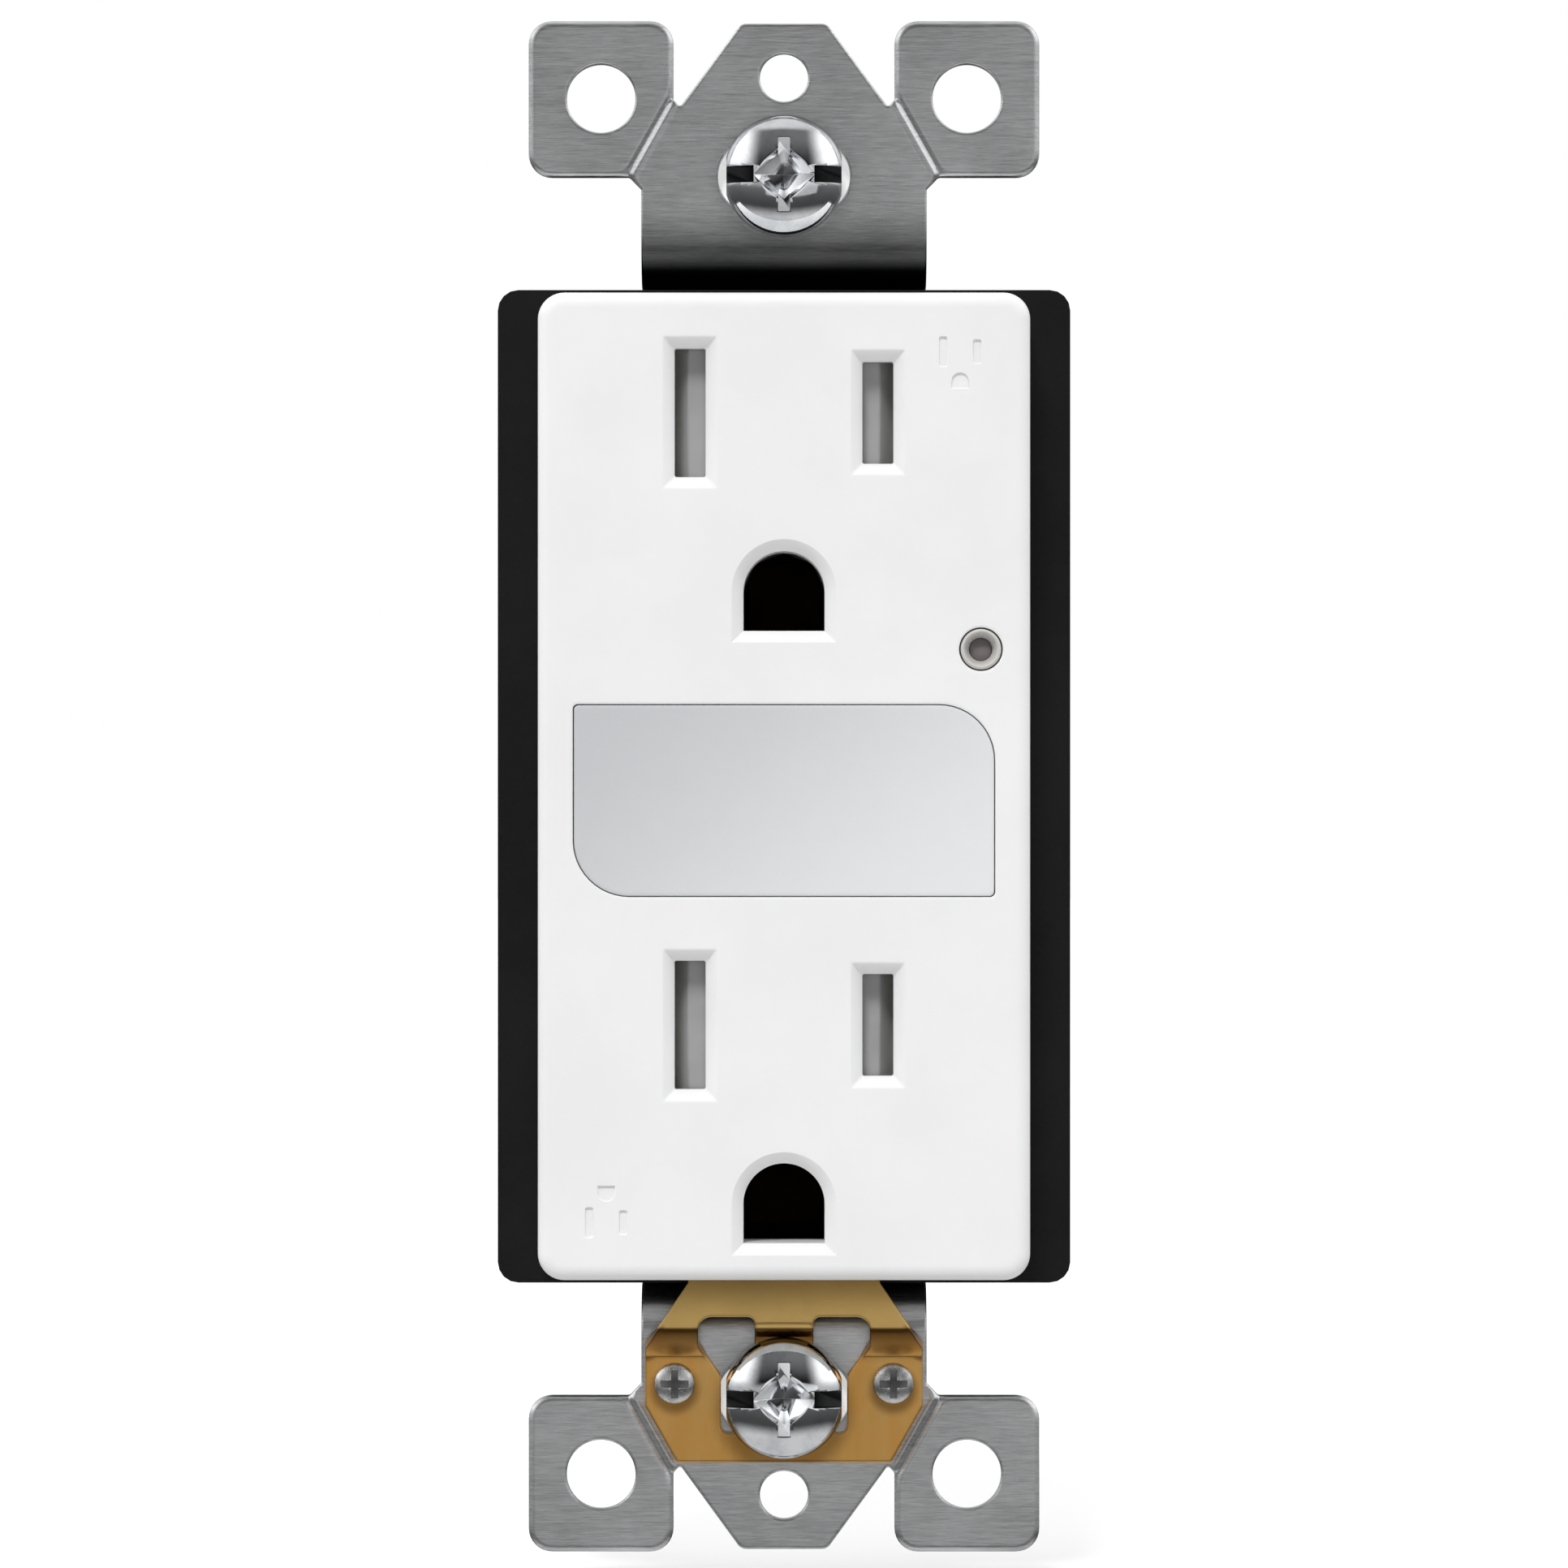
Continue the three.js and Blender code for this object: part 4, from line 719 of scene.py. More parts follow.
def carved(thing: Thing, cutters: Sequence[Thing]) -> Thing:
    """Cuts other objects out of one, and removes them."""
    for cutter in cutters:
        made = thing.modifiers.new("cut", "BOOLEAN")
        made.operation = "DIFFERENCE"
        made.solver = "EXACT"
        made.object = cutter
    settle(thing)
    for cutter in cutters:
        bpy.data.objects.remove(cutter)
    return thing


def prism(outline: Outline, front: float, back: float, tip: float | None = None) -> Thing:
    """A solid from an outline in X and Z, between two depths, or down to a point at a third."""
    shell = Shell()
    shell.sleeve(lambda _: outline, [(0.0, front), (0.0, back)])
    shell.lid(outline, front)
    if tip is None:
        shell.lid(outline, back)
    else:
        shell.fan([(u, back, v) for u, v in outline], (0.0, tip, 0.0))
    return shell.finished("cutter")


def merged_copy(node: str) -> bmesh.types.BMesh:
    """A joined, planar-faced copy of a frame node."""
    made = bmesh.new()
    made.from_mesh(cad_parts[node].data)
    bmesh.ops.remove_doubles(made, verts=made.verts, dist=2e-6)
    bmesh.ops.dissolve_limit(made, angle_limit=math.radians(0.6), verts=made.verts, edges=made.edges)
    return made


def softened(node: str, width: float, segments: int = 2) -> Thing:
    """A frame node's shape with its edges rounded by a width in millimetres."""
    made = as_object(merged_copy(node), f"{node}_piece", 28.0)
    return bevelled(made, width, segments)


# ---------- Dressing ----------


def dress(
    thing: Thing, finish: Finish, body: str, nodes: Sequence[str]
) -> Thing:
    """Gives a piece its finish, its body and the frame nodes that it stands for.

    Args:
        thing: The piece.
        finish: Its finish.
        body: The frame body that it moves with.
        nodes: The frame nodes that it replaces.

    Returns:
        The piece.
    """
    thing.data.materials.clear()
    thing.data.materials.append(finish.material())
    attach(thing, body)
    if nodes:
        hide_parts(*nodes)
    log.info("piece %s: %d faces, %s, on %s", thing.name, len(thing.data.polygons), finish.value.name, body)
    return thing


def dress_node(node: str, finish: Finish, width: float, segments: int = 2, body: str = "device") -> None:
    """Dresses a frame node's own shape, its edges rounded by a width in millimetres."""
    dress(softened(node, width, segments), finish, body, [node])


def low(node: str) -> Vector:
    """A node's lowest corner, in millimetres."""
    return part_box(node)[0] / MM


def high(node: str) -> Vector:
    """A node's highest corner, in millimetres."""
    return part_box(node)[1] / MM


def middle(node: str) -> Vector:
    """A node's middle, in millimetres."""
    return (low(node) + high(node)) / 2


# ---------- Geometry Nodes trees ----------


class Assembly(Tree):
    """A Geometry Nodes tree with named inputs that ends in Realize Instances and Set Material."""

    def __init__(self, name: str, sizes: dict[str, float | int]) -> None:
        """Starts a tree whose inputs are the named sizes."""
        super().__init__(bpy.data.node_groups.new(name, "GeometryNodeTree"))
        interface = self.tree.interface
        interface.new_socket("Geometry", in_out="INPUT", socket_type="NodeSocketGeometry")
        self.names: dict[str, str] = {}
        for label, value in sizes.items():
            kind = "NodeSocketInt" if isinstance(value, int) else "NodeSocketFloat"
            made = interface.new_socket(label, in_out="INPUT", socket_type=kind)
            made.default_value = value
            self.names[label] = made.identifier
        paint = interface.new_socket("Material", in_out="INPUT", socket_type="NodeSocketMaterial")
        self.names["Material"] = paint.identifier
        interface.new_socket("Geometry", in_out="OUTPUT", socket_type="NodeSocketGeometry")
        self.source = self.node("NodeGroupInput").outputs

    def close(self, result: Socket) -> Assembly:
        """Realizes a result, sets its material and ends the tree."""
        real = self.out("GeometryNodeRealizeInstances", inputs={0: result})
        inputs = {"Geometry": real, "Material": self.source["Material"]}
        self.node("NodeGroupOutput", inputs={0: self.out("GeometryNodeSetMaterial", inputs=inputs)})
        return self

    def wound(self, radius: str, wire: str, steps: int, sides: int) -> Socket:
        """A helical wire along Z, sized by the named inputs and by Turns and Length."""
        helix = {
            "Resolution": steps,
            "Rotations": self.source["Turns"],
            "Start Radius": self.source[radius],
            "End Radius": self.source[radius],
            "Height": self.source["Length"],
        }
        section = {"Resolution": sides, "Radius": self.source[wire]}
        sweep = {
            "Curve": self.out("GeometryNodeCurveSpiral", inputs=helix),
            "Profile Curve": self.out("GeometryNodeCurvePrimitiveCircle", inputs=section),
            "Fill Caps": True,
        }
        return self.out("GeometryNodeCurveToMesh", inputs=sweep)

    def apply(self, thing: Thing, finish: Finish, **sizes: float | int) -> Thing:
        """Runs the tree on an object and leaves a plain mesh."""
        made = thing.modifiers.new("tree", "NODES")
        made.node_group = self.tree
        made[self.names["Material"]] = finish.material()
        for label, value in sizes.items():
            made[self.names[label.replace("_", " ")]] = value
        return settle(thing)


def coil_tree() -> Assembly:
    """A helical wire about the X axis, its middle at Across, Depth and Up."""
    sizes = {"Radius": 1.0, "Wire": 0.1, "Length": 10.0, "Across": 0.0, "Depth": 0.0, "Up": 0.0}
    made = Assembly("coil", {"Turns": 5.0, **{key: value * MM for key, value in sizes.items()}})
    source = made.source
    half = made.out("ShaderNodeMath", {"operation": "MULTIPLY"}, {0: source["Length"], 1: -0.5})
    start = made.out("ShaderNodeMath", {"operation": "ADD"}, {0: half, 1: source["Across"]})
    place = {0: start, 1: source["Depth"], 2: source["Up"]}
    laid = {
        "Geometry": made.wound("Radius", "Wire", 22, 8),
        "Translation": made.out("ShaderNodeCombineXYZ", inputs=place),
        "Rotation": (0.0, math.pi / 2, 0.0),
    }
    return made.close(made.out("GeometryNodeTransform", inputs=laid))


def thread_tree() -> Assembly:
    """A thread ridge wound round a shank along Y, joined to the head and shank that it is given."""
    made = Assembly("thread", {"Core": 1.4 * MM, "Ridge": 0.3 * MM, "Turns": 20.0, "Length": 16.0 * MM})
    laid = {
        "Geometry": made.wound("Core", "Ridge", 20, 6),
        "Translation": (0.0, 0.8 * MM, 0.0),
        "Rotation": (-math.pi / 2, 0.0, 0.0),
    }
    both = made.node("GeometryNodeJoinGeometry")
    made.plug(both.inputs[0], made.source["Geometry"])
    made.plug(both.inputs[0], made.out("GeometryNodeTransform", inputs=laid))
    return made.close(both.outputs[0])


def array_tree() -> Assembly:
    """Copies of one fastener on a grid in X and Z, round its middle."""
    made = Assembly("fasteners", {"Across": 10 * MM, "Along": 10 * MM, "Columns": 2, "Rows": 2})
    sides = {"Size X": "Across", "Size Y": "Along", "Vertices X": "Columns", "Vertices Y": "Rows"}
    grid = made.out("GeometryNodeMeshGrid", inputs={key: made.source[name] for key, name in sides.items()})
    turn = {"Geometry": grid, "Rotation": (math.pi / 2, 0.0, 0.0)}
    copies = {"Points": made.out("GeometryNodeTransform", inputs=turn), "Instance": made.source["Geometry"]}
    return made.close(made.out("GeometryNodeInstanceOnPoints", inputs=copies))


# ---------- Face cover ----------


@dataclass
class Outlet:
    """The openings of one outlet in the cover's front."""

    blades_z: float
    spacing: float = 12.7
    slot_width: float = 2.1
    hot_height: float = 6.9
    neutral_height: float = 8.7
    pin_drop: float = 12.1
    pin_radius: float = 2.75
    pin_flat: float = 2.65

    def slot(self, side: int, grow: float) -> Outline:
        """A blade slot's edge, grown on every side; side is 1 for hot and -1 for neutral."""
        tall = self.hot_height if side > 0 else self.neutral_height
        width = self.slot_width + 2 * grow
        return rectangle(side * self.spacing / 2, self.blades_z, width, tall + 2 * grow, (0.14,) * 4, 4)

    def pin(self, grow: float) -> Outline:
        """The ground pin opening's edge, grown on every side: a half circle over a flat."""
        z, r = self.blades_z - self.pin_drop, self.pin_radius + grow
        turns = [math.pi * k / 30 for k in range(31)]
        flat = z - self.pin_flat - grow
        arch = [(r * math.cos(t), z + r * math.sin(t)) for t in turns]
        return anticlockwise([*arch, (-r, flat), (r, flat)])


@dataclass
class FaceCover:
    """The white front: rounded edges, flared openings, the light's window and the sensor's hole."""

    corner: float = 1.8
    edge: float = 0.95
    wall: float = 1.6
    ceiling: float = 2.0
    flare: float = 0.75
    lens_gap: float = 0.06
    sensor: Triple = (13.3, 9.26, 1.47)
    mark: Pair = (11.9, 28.6)
    outlets: list[Outlet] = field(default_factory=list)

    def __post_init__(self) -> None:
        """Reads the cover's box from the frame."""
        self.low, self.high = low("face_cover"), high("face_cover")
        self.front = self.low.y
        self.back = low("rear_housing").y - 0.1
        self.outlets = [Outlet(self.high.z - 8.14), Outlet(self.low.z + 17.26)]

    def body(self, by: float) -> Outline:
        """The cover's outer edge, moved inwards."""
        width, height = self.high.x - self.low.x - 2 * by, self.high.z - self.low.z - 2 * by
        return rectangle(0, 0, width, height, (max(self.corner - by, 0.25),) * 4, 10)

    @staticmethod
    def window(grow: float) -> Outline:
        """The light window's edge, grown on every side."""
        box = (low("light_lens"), high("light_lens"))
        centre = (box[0] + box[1]) / 2
        big, small = 3.75 + grow, 0.35
        return rectangle(0, centre.z, 28.4 + 2 * grow, 12.9 + 2 * grow, (big, small, big, small), 12)

    def marks(self, by: float) -> list[Outline]:
        """Two generic engraved pictograms of an outlet, one upright and one upside down."""
        made = []
        for u, v, way in ((*self.mark, 1), (-self.mark[0] - 0.1, -self.mark[1] - 0.1, -1)):
            for across, tall in ((-1.15, 2.1), (1.15, 1.7)):
                size = (0.62 - by * 2, tall - by * 2)
                made.append(rectangle(u + across, v + way * 0.75, *size, (0.15,) * 4, 3))
            arch = [(math.cos(t) * 0.62, math.sin(t) * 0.62) for t in [math.pi * k / 8 for k in range(9)]]
            pin = [(x, y) for x, y in arch] + [(-0.62, -0.5), (0.62, -0.5)]
            made.append(inset(anticlockwise([(u + x, v + way * (y - 1.25)) for x, y in pin]), by))
        return made

    def build(self) -> Thing:
        """Makes the cover."""
        shell = Shell()
        front, back, inside = self.front, self.back, self.front + self.ceiling
        arcs = [math.radians(15 * k) for k in range(7)]
        edge = self.edge
        rings = [(edge + 0.14, front)]
        rings += [(edge * (1 - math.sin(a)), front + edge * (1 - math.cos(a))) for a in arcs]
        rings += [(0.0, back - 0.12), (0.12, back), (self.wall, back), (self.wall, inside)]
        shell.sleeve(self.body, rings)
        openings, ceiling = [], []
        for outlet in self.outlets:
            for side in (1, -1):
                self.flared(shell, lambda grow, o=outlet, s=side: o.slot(s, grow), inside, openings, ceiling)
            self.flared(shell, outlet.pin, back, openings, ceiling, collar=inside)
        for shape in (lambda grow: self.window(self.lens_gap + grow), lambda grow: circle(*self.hole(grow))):
            steps = [(0.22, front), (0.1, front), (0.03, front + 0.03), (0.0, front + 0.1), (0.0, inside)]
            shell.sleeve(shape, steps)
            openings.append(shape(0.22))
            ceiling.append(shape(0.0))
        deep = [(-0.06, 0.0), (0.0, 0.0), (0.05, 0.05), (0.07, 0.16)]
        for marks in zip(*[self.marks(by) for by, _ in deep]):
            shell.wall([[(u, front + y, v) for u, v in ring] for ring, (_, y) in zip(marks, deep)])
            shell.lid(marks[-1], front + deep[-1][1])
            openings.append(marks[0])
        shell.lid(self.body(edge + 0.14), front, openings)
        shell.lid(self.body(self.wall), inside, ceiling)
        return shell.finished("cover_shell", 26.0)

    def hole(self, grow: float) -> Triple:
        """The sensor hole's middle and radius, grown."""
        return self.sensor[0], self.sensor[1], self.sensor[2] + grow

    def flared(
        self,
        shell: Shell,
        shape: Callable[[float], Outline],
        end: float,
        openings: list[Outline],
        ceiling: list[Outline],
        collar: float | None = None,
    ) -> None:
        """Walls of an opening that flares to the front, with a collar behind it where one is asked for."""
        front, flare = self.front, self.flare
        steps = [(flare + 0.16, front), (flare + 0.05, front), (flare - 0.03, front + 0.04)]
        steps += [(0.06, front + flare - 0.06), (0.0, front + flare + 0.04), (0.0, end)]
        if collar is not None:
            steps += [(1.1, end), (1.1, collar)]
        shell.sleeve(shape, steps)
        openings.append(shape(steps[0][0]))
        ceiling.append(shape(steps[-1][0]))

    def dress(self) -> None:
        """Builds and dresses the cover."""
        dress(self.build(), Finish.COVER, "device", ["face_cover"])


# ---------- Guide light and sensor ----------


@dataclass
class GuideLight:
    """The frosted window, its box, the board and what is on it."""

    rim: float = 0.6

    def window(self) -> Thing:
        """The window: a flush front with a softly rounded edge and a retaining rim behind."""
        front, back = low("light_lens").y, high("light_lens").y
        rim_front = back - 0.7
        steps = [(-0.28, 0.0), (-0.14, 0.0), (-0.05, 0.03), (0.0, 0.12)]
        rings = [(grow, front + y) for grow, y in steps]
        rings += [(0.0, rim_front), (self.rim, rim_front), (self.rim, back)]
        shell = Shell()
        shell.sleeve(FaceCover.window, rings)
        shell.lid(FaceCover.window(rings[0][0]), front)
        shell.lid(FaceCover.window(self.rim), back)
        return shell.finished("light_window", 40.0)

    def bezel(self) -> Thing:
        """The sensor's ring: a bright rolled lip and a funnel to the tip."""
        x, z = middle("sensor_bezel").x, middle("sensor_bezel").z
        front, back = low("sensor_bezel").y, high("sensor_bezel").y
        hole, outer = 0.78, 1.37
        funnel = [(hole, front + 0.95), (hole + 0.02, front + 0.8), (1.08, front + 0.14)]
        lip = [(1.15, front + 0.04), (1.21, front), (1.3, front + 0.03), (outer, front + 0.11)]
        flange = [(outer, front + 2.1), (outer + 0.25, front + 2.1), (outer + 0.25, back), (hole, back)]
        profile = [*funnel, *lip, *flange, funnel[0]]
        shell = Shell()
        shell.sleeve(lambda radius: circle(x, z, radius, 56), profile)
        return shell.finished("sensor_ring", 40.0)

    def tip(self) -> Thing:
        """The sensor's domed tip and its can."""
        x, z = middle("photocell").x, middle("photocell").z
        front, back = low("photocell").y, high("photocell").y
        tilts = (0.0, 0.3, 0.7, 1.1, 1.5)
        dome = [(0.75 * math.sin(a), front + 0.12 * (1 - math.cos(a))) for a in tilts]
        can = [(0.755, front + 0.3), (0.755, back - 3.0), (1.3, back - 3.0), (1.3, back), (0.0, back)]
        shell = Shell()
        shell.turned([*dome, *can], 40, (x, z))
        return shell.finished("sensor_tip", 40.0)

    def dress(self) -> None:
        """Builds and dresses the light's pieces."""
        dress(self.window(), Finish.LENS, "device", ["light_lens"])
        dress(self.bezel(), Finish.BEZEL, "device", ["sensor_bezel"])
        dress(self.tip(), Finish.SENSOR, "device", ["photocell"])
        for node, finish, width, segments in (
            ("light_box", Finish.REFLECTOR, 0.12, 2),
            ("led_board", Finish.BOARD, 0.08, 2),
            ("dropper_capacitor", Finish.FILM, 0.9, 4),
            ("bridge_rectifier", Finish.COMPONENT, 0.3, 2),
            ("smoothing_capacitor", Finish.COMPONENT, 0.3, 3),
            ("dropper_resistor", Finish.RESISTOR, 0.5, 3),
            ("led_1", Finish.LED, 0.15, 2),
            ("led_2", Finish.LED, 0.15, 2),
            ("led_3", Finish.LED, 0.15, 2),
            ("lead_hot", Finish.LEAD_BLACK, 0.08, 2),
            ("lead_neutral", Finish.LEAD_WHITE, 0.08, 2),
        ):
            dress_node(node, finish, width, segments)


# ---------- Shutters ----------


@dataclass
class Shutters:
    """The shutters, their trays and the coil between each pair."""

    wire: float = 0.15
    radius: float = 0.7
    turns: float = 6.0
    travel: float = 2.6

    def spring(self, level: str, tree: Assembly) -> Thing:
        """The coil of one outlet, as wide as the frame's own."""
        node = f"{level}_shutter_spring"
        at, length = middle(node), high(node).x - low(node).x - 2 * self.wire
        made = link(bpy.data.meshes.new(node), f"{level}_coil")
        sizes = {"Radius": self.radius, "Wire": self.wire, "Length": length}
        sizes |= {"Across": at.x, "Depth": at.y, "Up": at.z}
        tree.apply(made, Finish.SPRING, Turns=self.turns, **{key: value * MM for key, value in sizes.items()})
        return made

    def dress(self) -> None:
        """Builds and dresses both outlets' shutters."""
        tree = coil_tree()
        for level in ("upper", "lower"):
            for line in ("hot", "neutral"):
                name = f"{level}_{line}_shutter"
                dress_node(name, Finish.SHUTTER, 0.12, body=name)
            dress_node(f"{level}_shutter_tray", Finish.TRAY, 0.15)
            spring = self.spring(level, tree)
            node = f"{level}_shutter_spring"
            dress(spring, Finish.SPRING, "device", [node])
            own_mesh(spring)


# ---------- Strap ----------


class BendPath:
    """A line of straights and bends in Y and Z that a sheet's middle follows, by distance along it."""

    def __init__(self, corners: Sequence[Triple]) -> None:
        """Works out the line from its (y, z, bend radius) corners."""
        self.pieces: list[tuple[float, Callable[[float], tuple[Vector, Vector]]]] = []
        self.bends: list[Pair] = []
        at = Vector(corners[0][:2])
        run = 0.0
        for i in range(1, len(corners)):
            here, radius = Vector(corners[i][:2]), corners[i][2]
            into = (here - at).normalized()
            reach = 0.0
            if i + 1 < len(corners):
                on = (Vector(corners[i + 1][:2]) - here).normalized()
                turn = into.angle_signed(on) * -1
                reach = radius * math.tan(abs(turn) / 2)
            end = here - into * reach
            self.pieces.append((run, lambda d, a=at.copy(), t=into: (a + t * d, t)))
            run += (end - at).length
            if i + 1 < len(corners):
                side = math.copysign(1.0, turn)
                normal = Vector((-into.y, into.x)) * side
                centre = end + normal * radius
                self.pieces.append((run, partial(self._arc, centre, end, side / radius, into)))
                self.bends.append((run, run + radius * abs(turn)))
                run += radius * abs(turn)
                at = here + on * reach
        self.length = run

    @staticmethod
    def _arc(centre: Vector, start: Vector, rate: float, into: Vector, along: float) -> tuple[Vector, Vector]:
        """A point and direction on a bend that turns by rate for each millimetre along."""
        turn = Matrix.Rotation(rate * along, 2)
        return centre + turn @ (start - centre), turn @ into

    def at(self, along: float) -> tuple[Vector, Vector]:
        """The point and the front's direction at a distance along the line."""
        started = [entry for entry in self.pieces if entry[0] <= along + 1e-9]
        first, piece = started[-1] if along > 0 else self.pieces[0]
        point, way = piece(along - first)
        return point, Vector((way.y, -way.x))


@dataclass
class FormedSheet:
    """A stamped and bent sheet with rounded edges.

    Attributes:
        outline: Its edge, flat.
        holes: The edges of its holes.
        thickness: The sheet's thickness.
        edge: The rounding of its edges.
        rim: The rounding of its outer edge at (u, v), where it differs.
        surface: Gives the middle point and the front's direction at (u, v).
        relief: Height of what is pressed into its faces at (u, v).
        extra: Points that its faces need inside.
    """

    outline: Outline
    holes: list[Outline]
    thickness: float
    edge: float
    surface: Callable[[float, float], tuple[Triple, Triple]]
    relief: Callable[[float, float], float] = lambda u, v: 0.0
    extra: list[Pair] = field(default_factory=list)
    rim: Callable[[float, float], float] | None = None

    def point(self, u: float, v: float, level: float) -> Triple:
        """The point in space at (u, v), level times half the thickness in front of the middle."""
        (x, y, z), (nx, ny, nz) = self.surface(u, v)
        out = level * (self.thickness / 2 + self.relief(u, v))
        return x + nx * out, y + ny * out, z + nz * out

    def add(self, shell: Shell) -> None:
        """Adds the sheet to a shell."""
        half = self.thickness / 2
        arcs = [math.radians(22.5 * k) for k in range(5)]
        steps = [(1.0, 0.0, 0.1)] + [(1 - math.sin(a), 1 - math.cos(a), 0.0) for a in arcs]
        faces: list[Outline] = []
        for sign, loop in [(1, self.outline)] + [(-1, hole) for hole in self.holes]:
            edges = [self.rim(u, v) if self.rim and sign > 0 else self.edge for u, v in loop]
            rings = []
            for into, down, pad in steps:
                moved = inset(loop, [sign * (edge * into + pad) for edge in edges])
                rings.append([(u, v, 1 - edge * down / half) for (u, v), edge in zip(moved, edges)])
            rings += [[(u, v, -level) for u, v, level in ring] for ring in reversed(rings)]
            shell.wall([[self.point(*point) for point in ring] for ring in rings])
            faces.append([(u, v) for u, v, _ in rings[0]])
        for level in (1.0, -1.0):
            shell.cap(faces[0], faces[1:], lambda u, v, at=level: self.point(u, v, at), self.extra)


@dataclass
class Strap:
    """The steel strap that wraps the housing: two ends with ears and a tongue, brushed across."""

    thickness: float = 1.2
    edge: float = 0.16
    neck: float = 9.75
    slot_z: float = 41.67
    slot: Pair = (9.0, 4.9)
    plate_z: float = 48.42
    ear: Pair = (12.5, 47.0)
    ear_box: tuple[float, float, float, float] = (7.55, 17.45, 41.6, 52.3)
    leg_z: float = 34.65
    back_y: float = 20.35

    def __post_init__(self) -> None:
        """Lays out the bends and the flat outline."""
        tip, front = self.ear_box[3], -self.thickness / 2
        yoke, corner = 2.8, 2.25
        self.path = BendPath(
            [
                (front, tip, 0.0),
                (front, self.leg_z, yoke),
                (self.back_y, self.leg_z, corner),
                (self.back_y, -self.leg_z, corner),
                (front, -self.leg_z, yoke),
                (front, -tip, 0.0),
            ]
        )
        self.tip = tip

    def along(self, z: float, end: int) -> float:
        """The distance along the strap of a height on its upper (1) or lower (-1) end."""
        reach = self.tip - abs(z)
        return reach if end > 0 else self.path.length - reach

    def outline(self) -> Outline:
        """The strap's flat edge: half an end's corners, turned into both ends and both sides."""
        inner, outer, root, tip = self.ear_box
        notch = 46.4
        half = [
            (self.neck, root - 0.8, 0.3),
            (self.neck + 0.8, root, 0.3),
            (outer, root, 1.6),
            (outer, tip, 1.6),
            (inner, tip, 1.6),
            (inner, notch + 0.5, 0.3),
            (7.1, notch, 0.2),
            (2.93, tip - 0.2, 0.7),
        ]
        upper = [(u, self.along(z, 1), r) for u, z, r in half]
        lower = [(u, self.along(z, -1), r) for u, z, r in half]
        corners = mirrored(upper) + [(-u, v, r) for u, v, r in lower] + lower[::-1]
        return divided(rounded(corners, 8), 0.45)

    def holes(self) -> list[Outline]:
        """The edges of the slots and holes of both ends."""
        made = []
        for end in (1, -1):
            slot_v = self.along(self.slot_z, end)
            width, height = self.slot
            made.append(rectangle(0, slot_v, width, height, (height / 2 - 0.01,) * 4, 14))
            made.append(circle(0, self.along(self.plate_z, end), 1.65, 40))
            made += [circle(side * self.ear[0], self.along(self.ear[1], end), 2.35, 56) for side in (1, -1)]
        return made

    def rim(self, u: float, v: float) -> float:
        """The rounding of the outer edge: broad round the ears, fine elsewhere."""
        height = self.tip - min(v, self.path.length - v)
        return 0.42 if abs(u) > 7.5 and height > 41.3 else self.edge

    def score(self, end: int, side: int) -> tuple[Vector, Vector]:
        """The two ends of the line on which an ear snaps off."""
        return Vector((side * 7.9, self.along(46.75, end))), Vector((side * 10.95, self.along(41.35, end)))

    def relief(self, u: float, v: float) -> float:
        """The snap lines: a groove with a raised lip on the ear's side."""
        total = 0.0
        for end in (1, -1):
            if abs(v - self.along(44.0, end)) > 6:
                continue
            start, stop = self.score(end, 1)
            way = (stop - start).normalized()
            local = Vector((abs(u), v)) - start
            across = (local.x * way.y - local.y * way.x) * (-end)
            total -= 0.15 * math.exp(-((across / 0.2) ** 2))
            total += 0.07 * math.exp(-(((across - 0.42) / 0.17) ** 2))
        return total

    def extra(self) -> list[Pair]:
        """Points inside the faces, along the bends and the snap lines."""
        made: list[Pair] = []
        for start, stop in self.path.bends:
            for k in range(13):
                v = start + (stop - start) * k / 12
                made += [(u * 0.88, v) for u in range(-10, 11)]
        for end in (1, -1):
            for side in (1, -1):
                start, stop = self.score(end, side)
                way = (stop - start).normalized()
                across = Vector((way.y, -way.x))
                for i in range(-2, 33):
                    for j in range(-11, 12):
                        point = start + (stop - start) * (i / 30) + across * (j * 0.11)
                        made.append((point.x, point.y))
        return made

    def surface(self, u: float, v: float) -> tuple[Triple, Triple]:
        """The sheet's middle and its front's direction."""
        point, normal = self.path.at(v)
        return (u, point.x, point.y), (0.0, normal.x, normal.y)

    def dress(self) -> None:
        """Builds and dresses the strap."""
        shell = Shell()
        edges = (self.outline(), self.holes(), self.thickness, self.edge)
        FormedSheet(*edges, self.surface, self.relief, self.extra(), self.rim).add(shell)
        dress(shell.finished("wrap_strap", 40.0), Finish.STRAP, "device", ["mounting_strap"])


# ---------- Grounding strip ----------


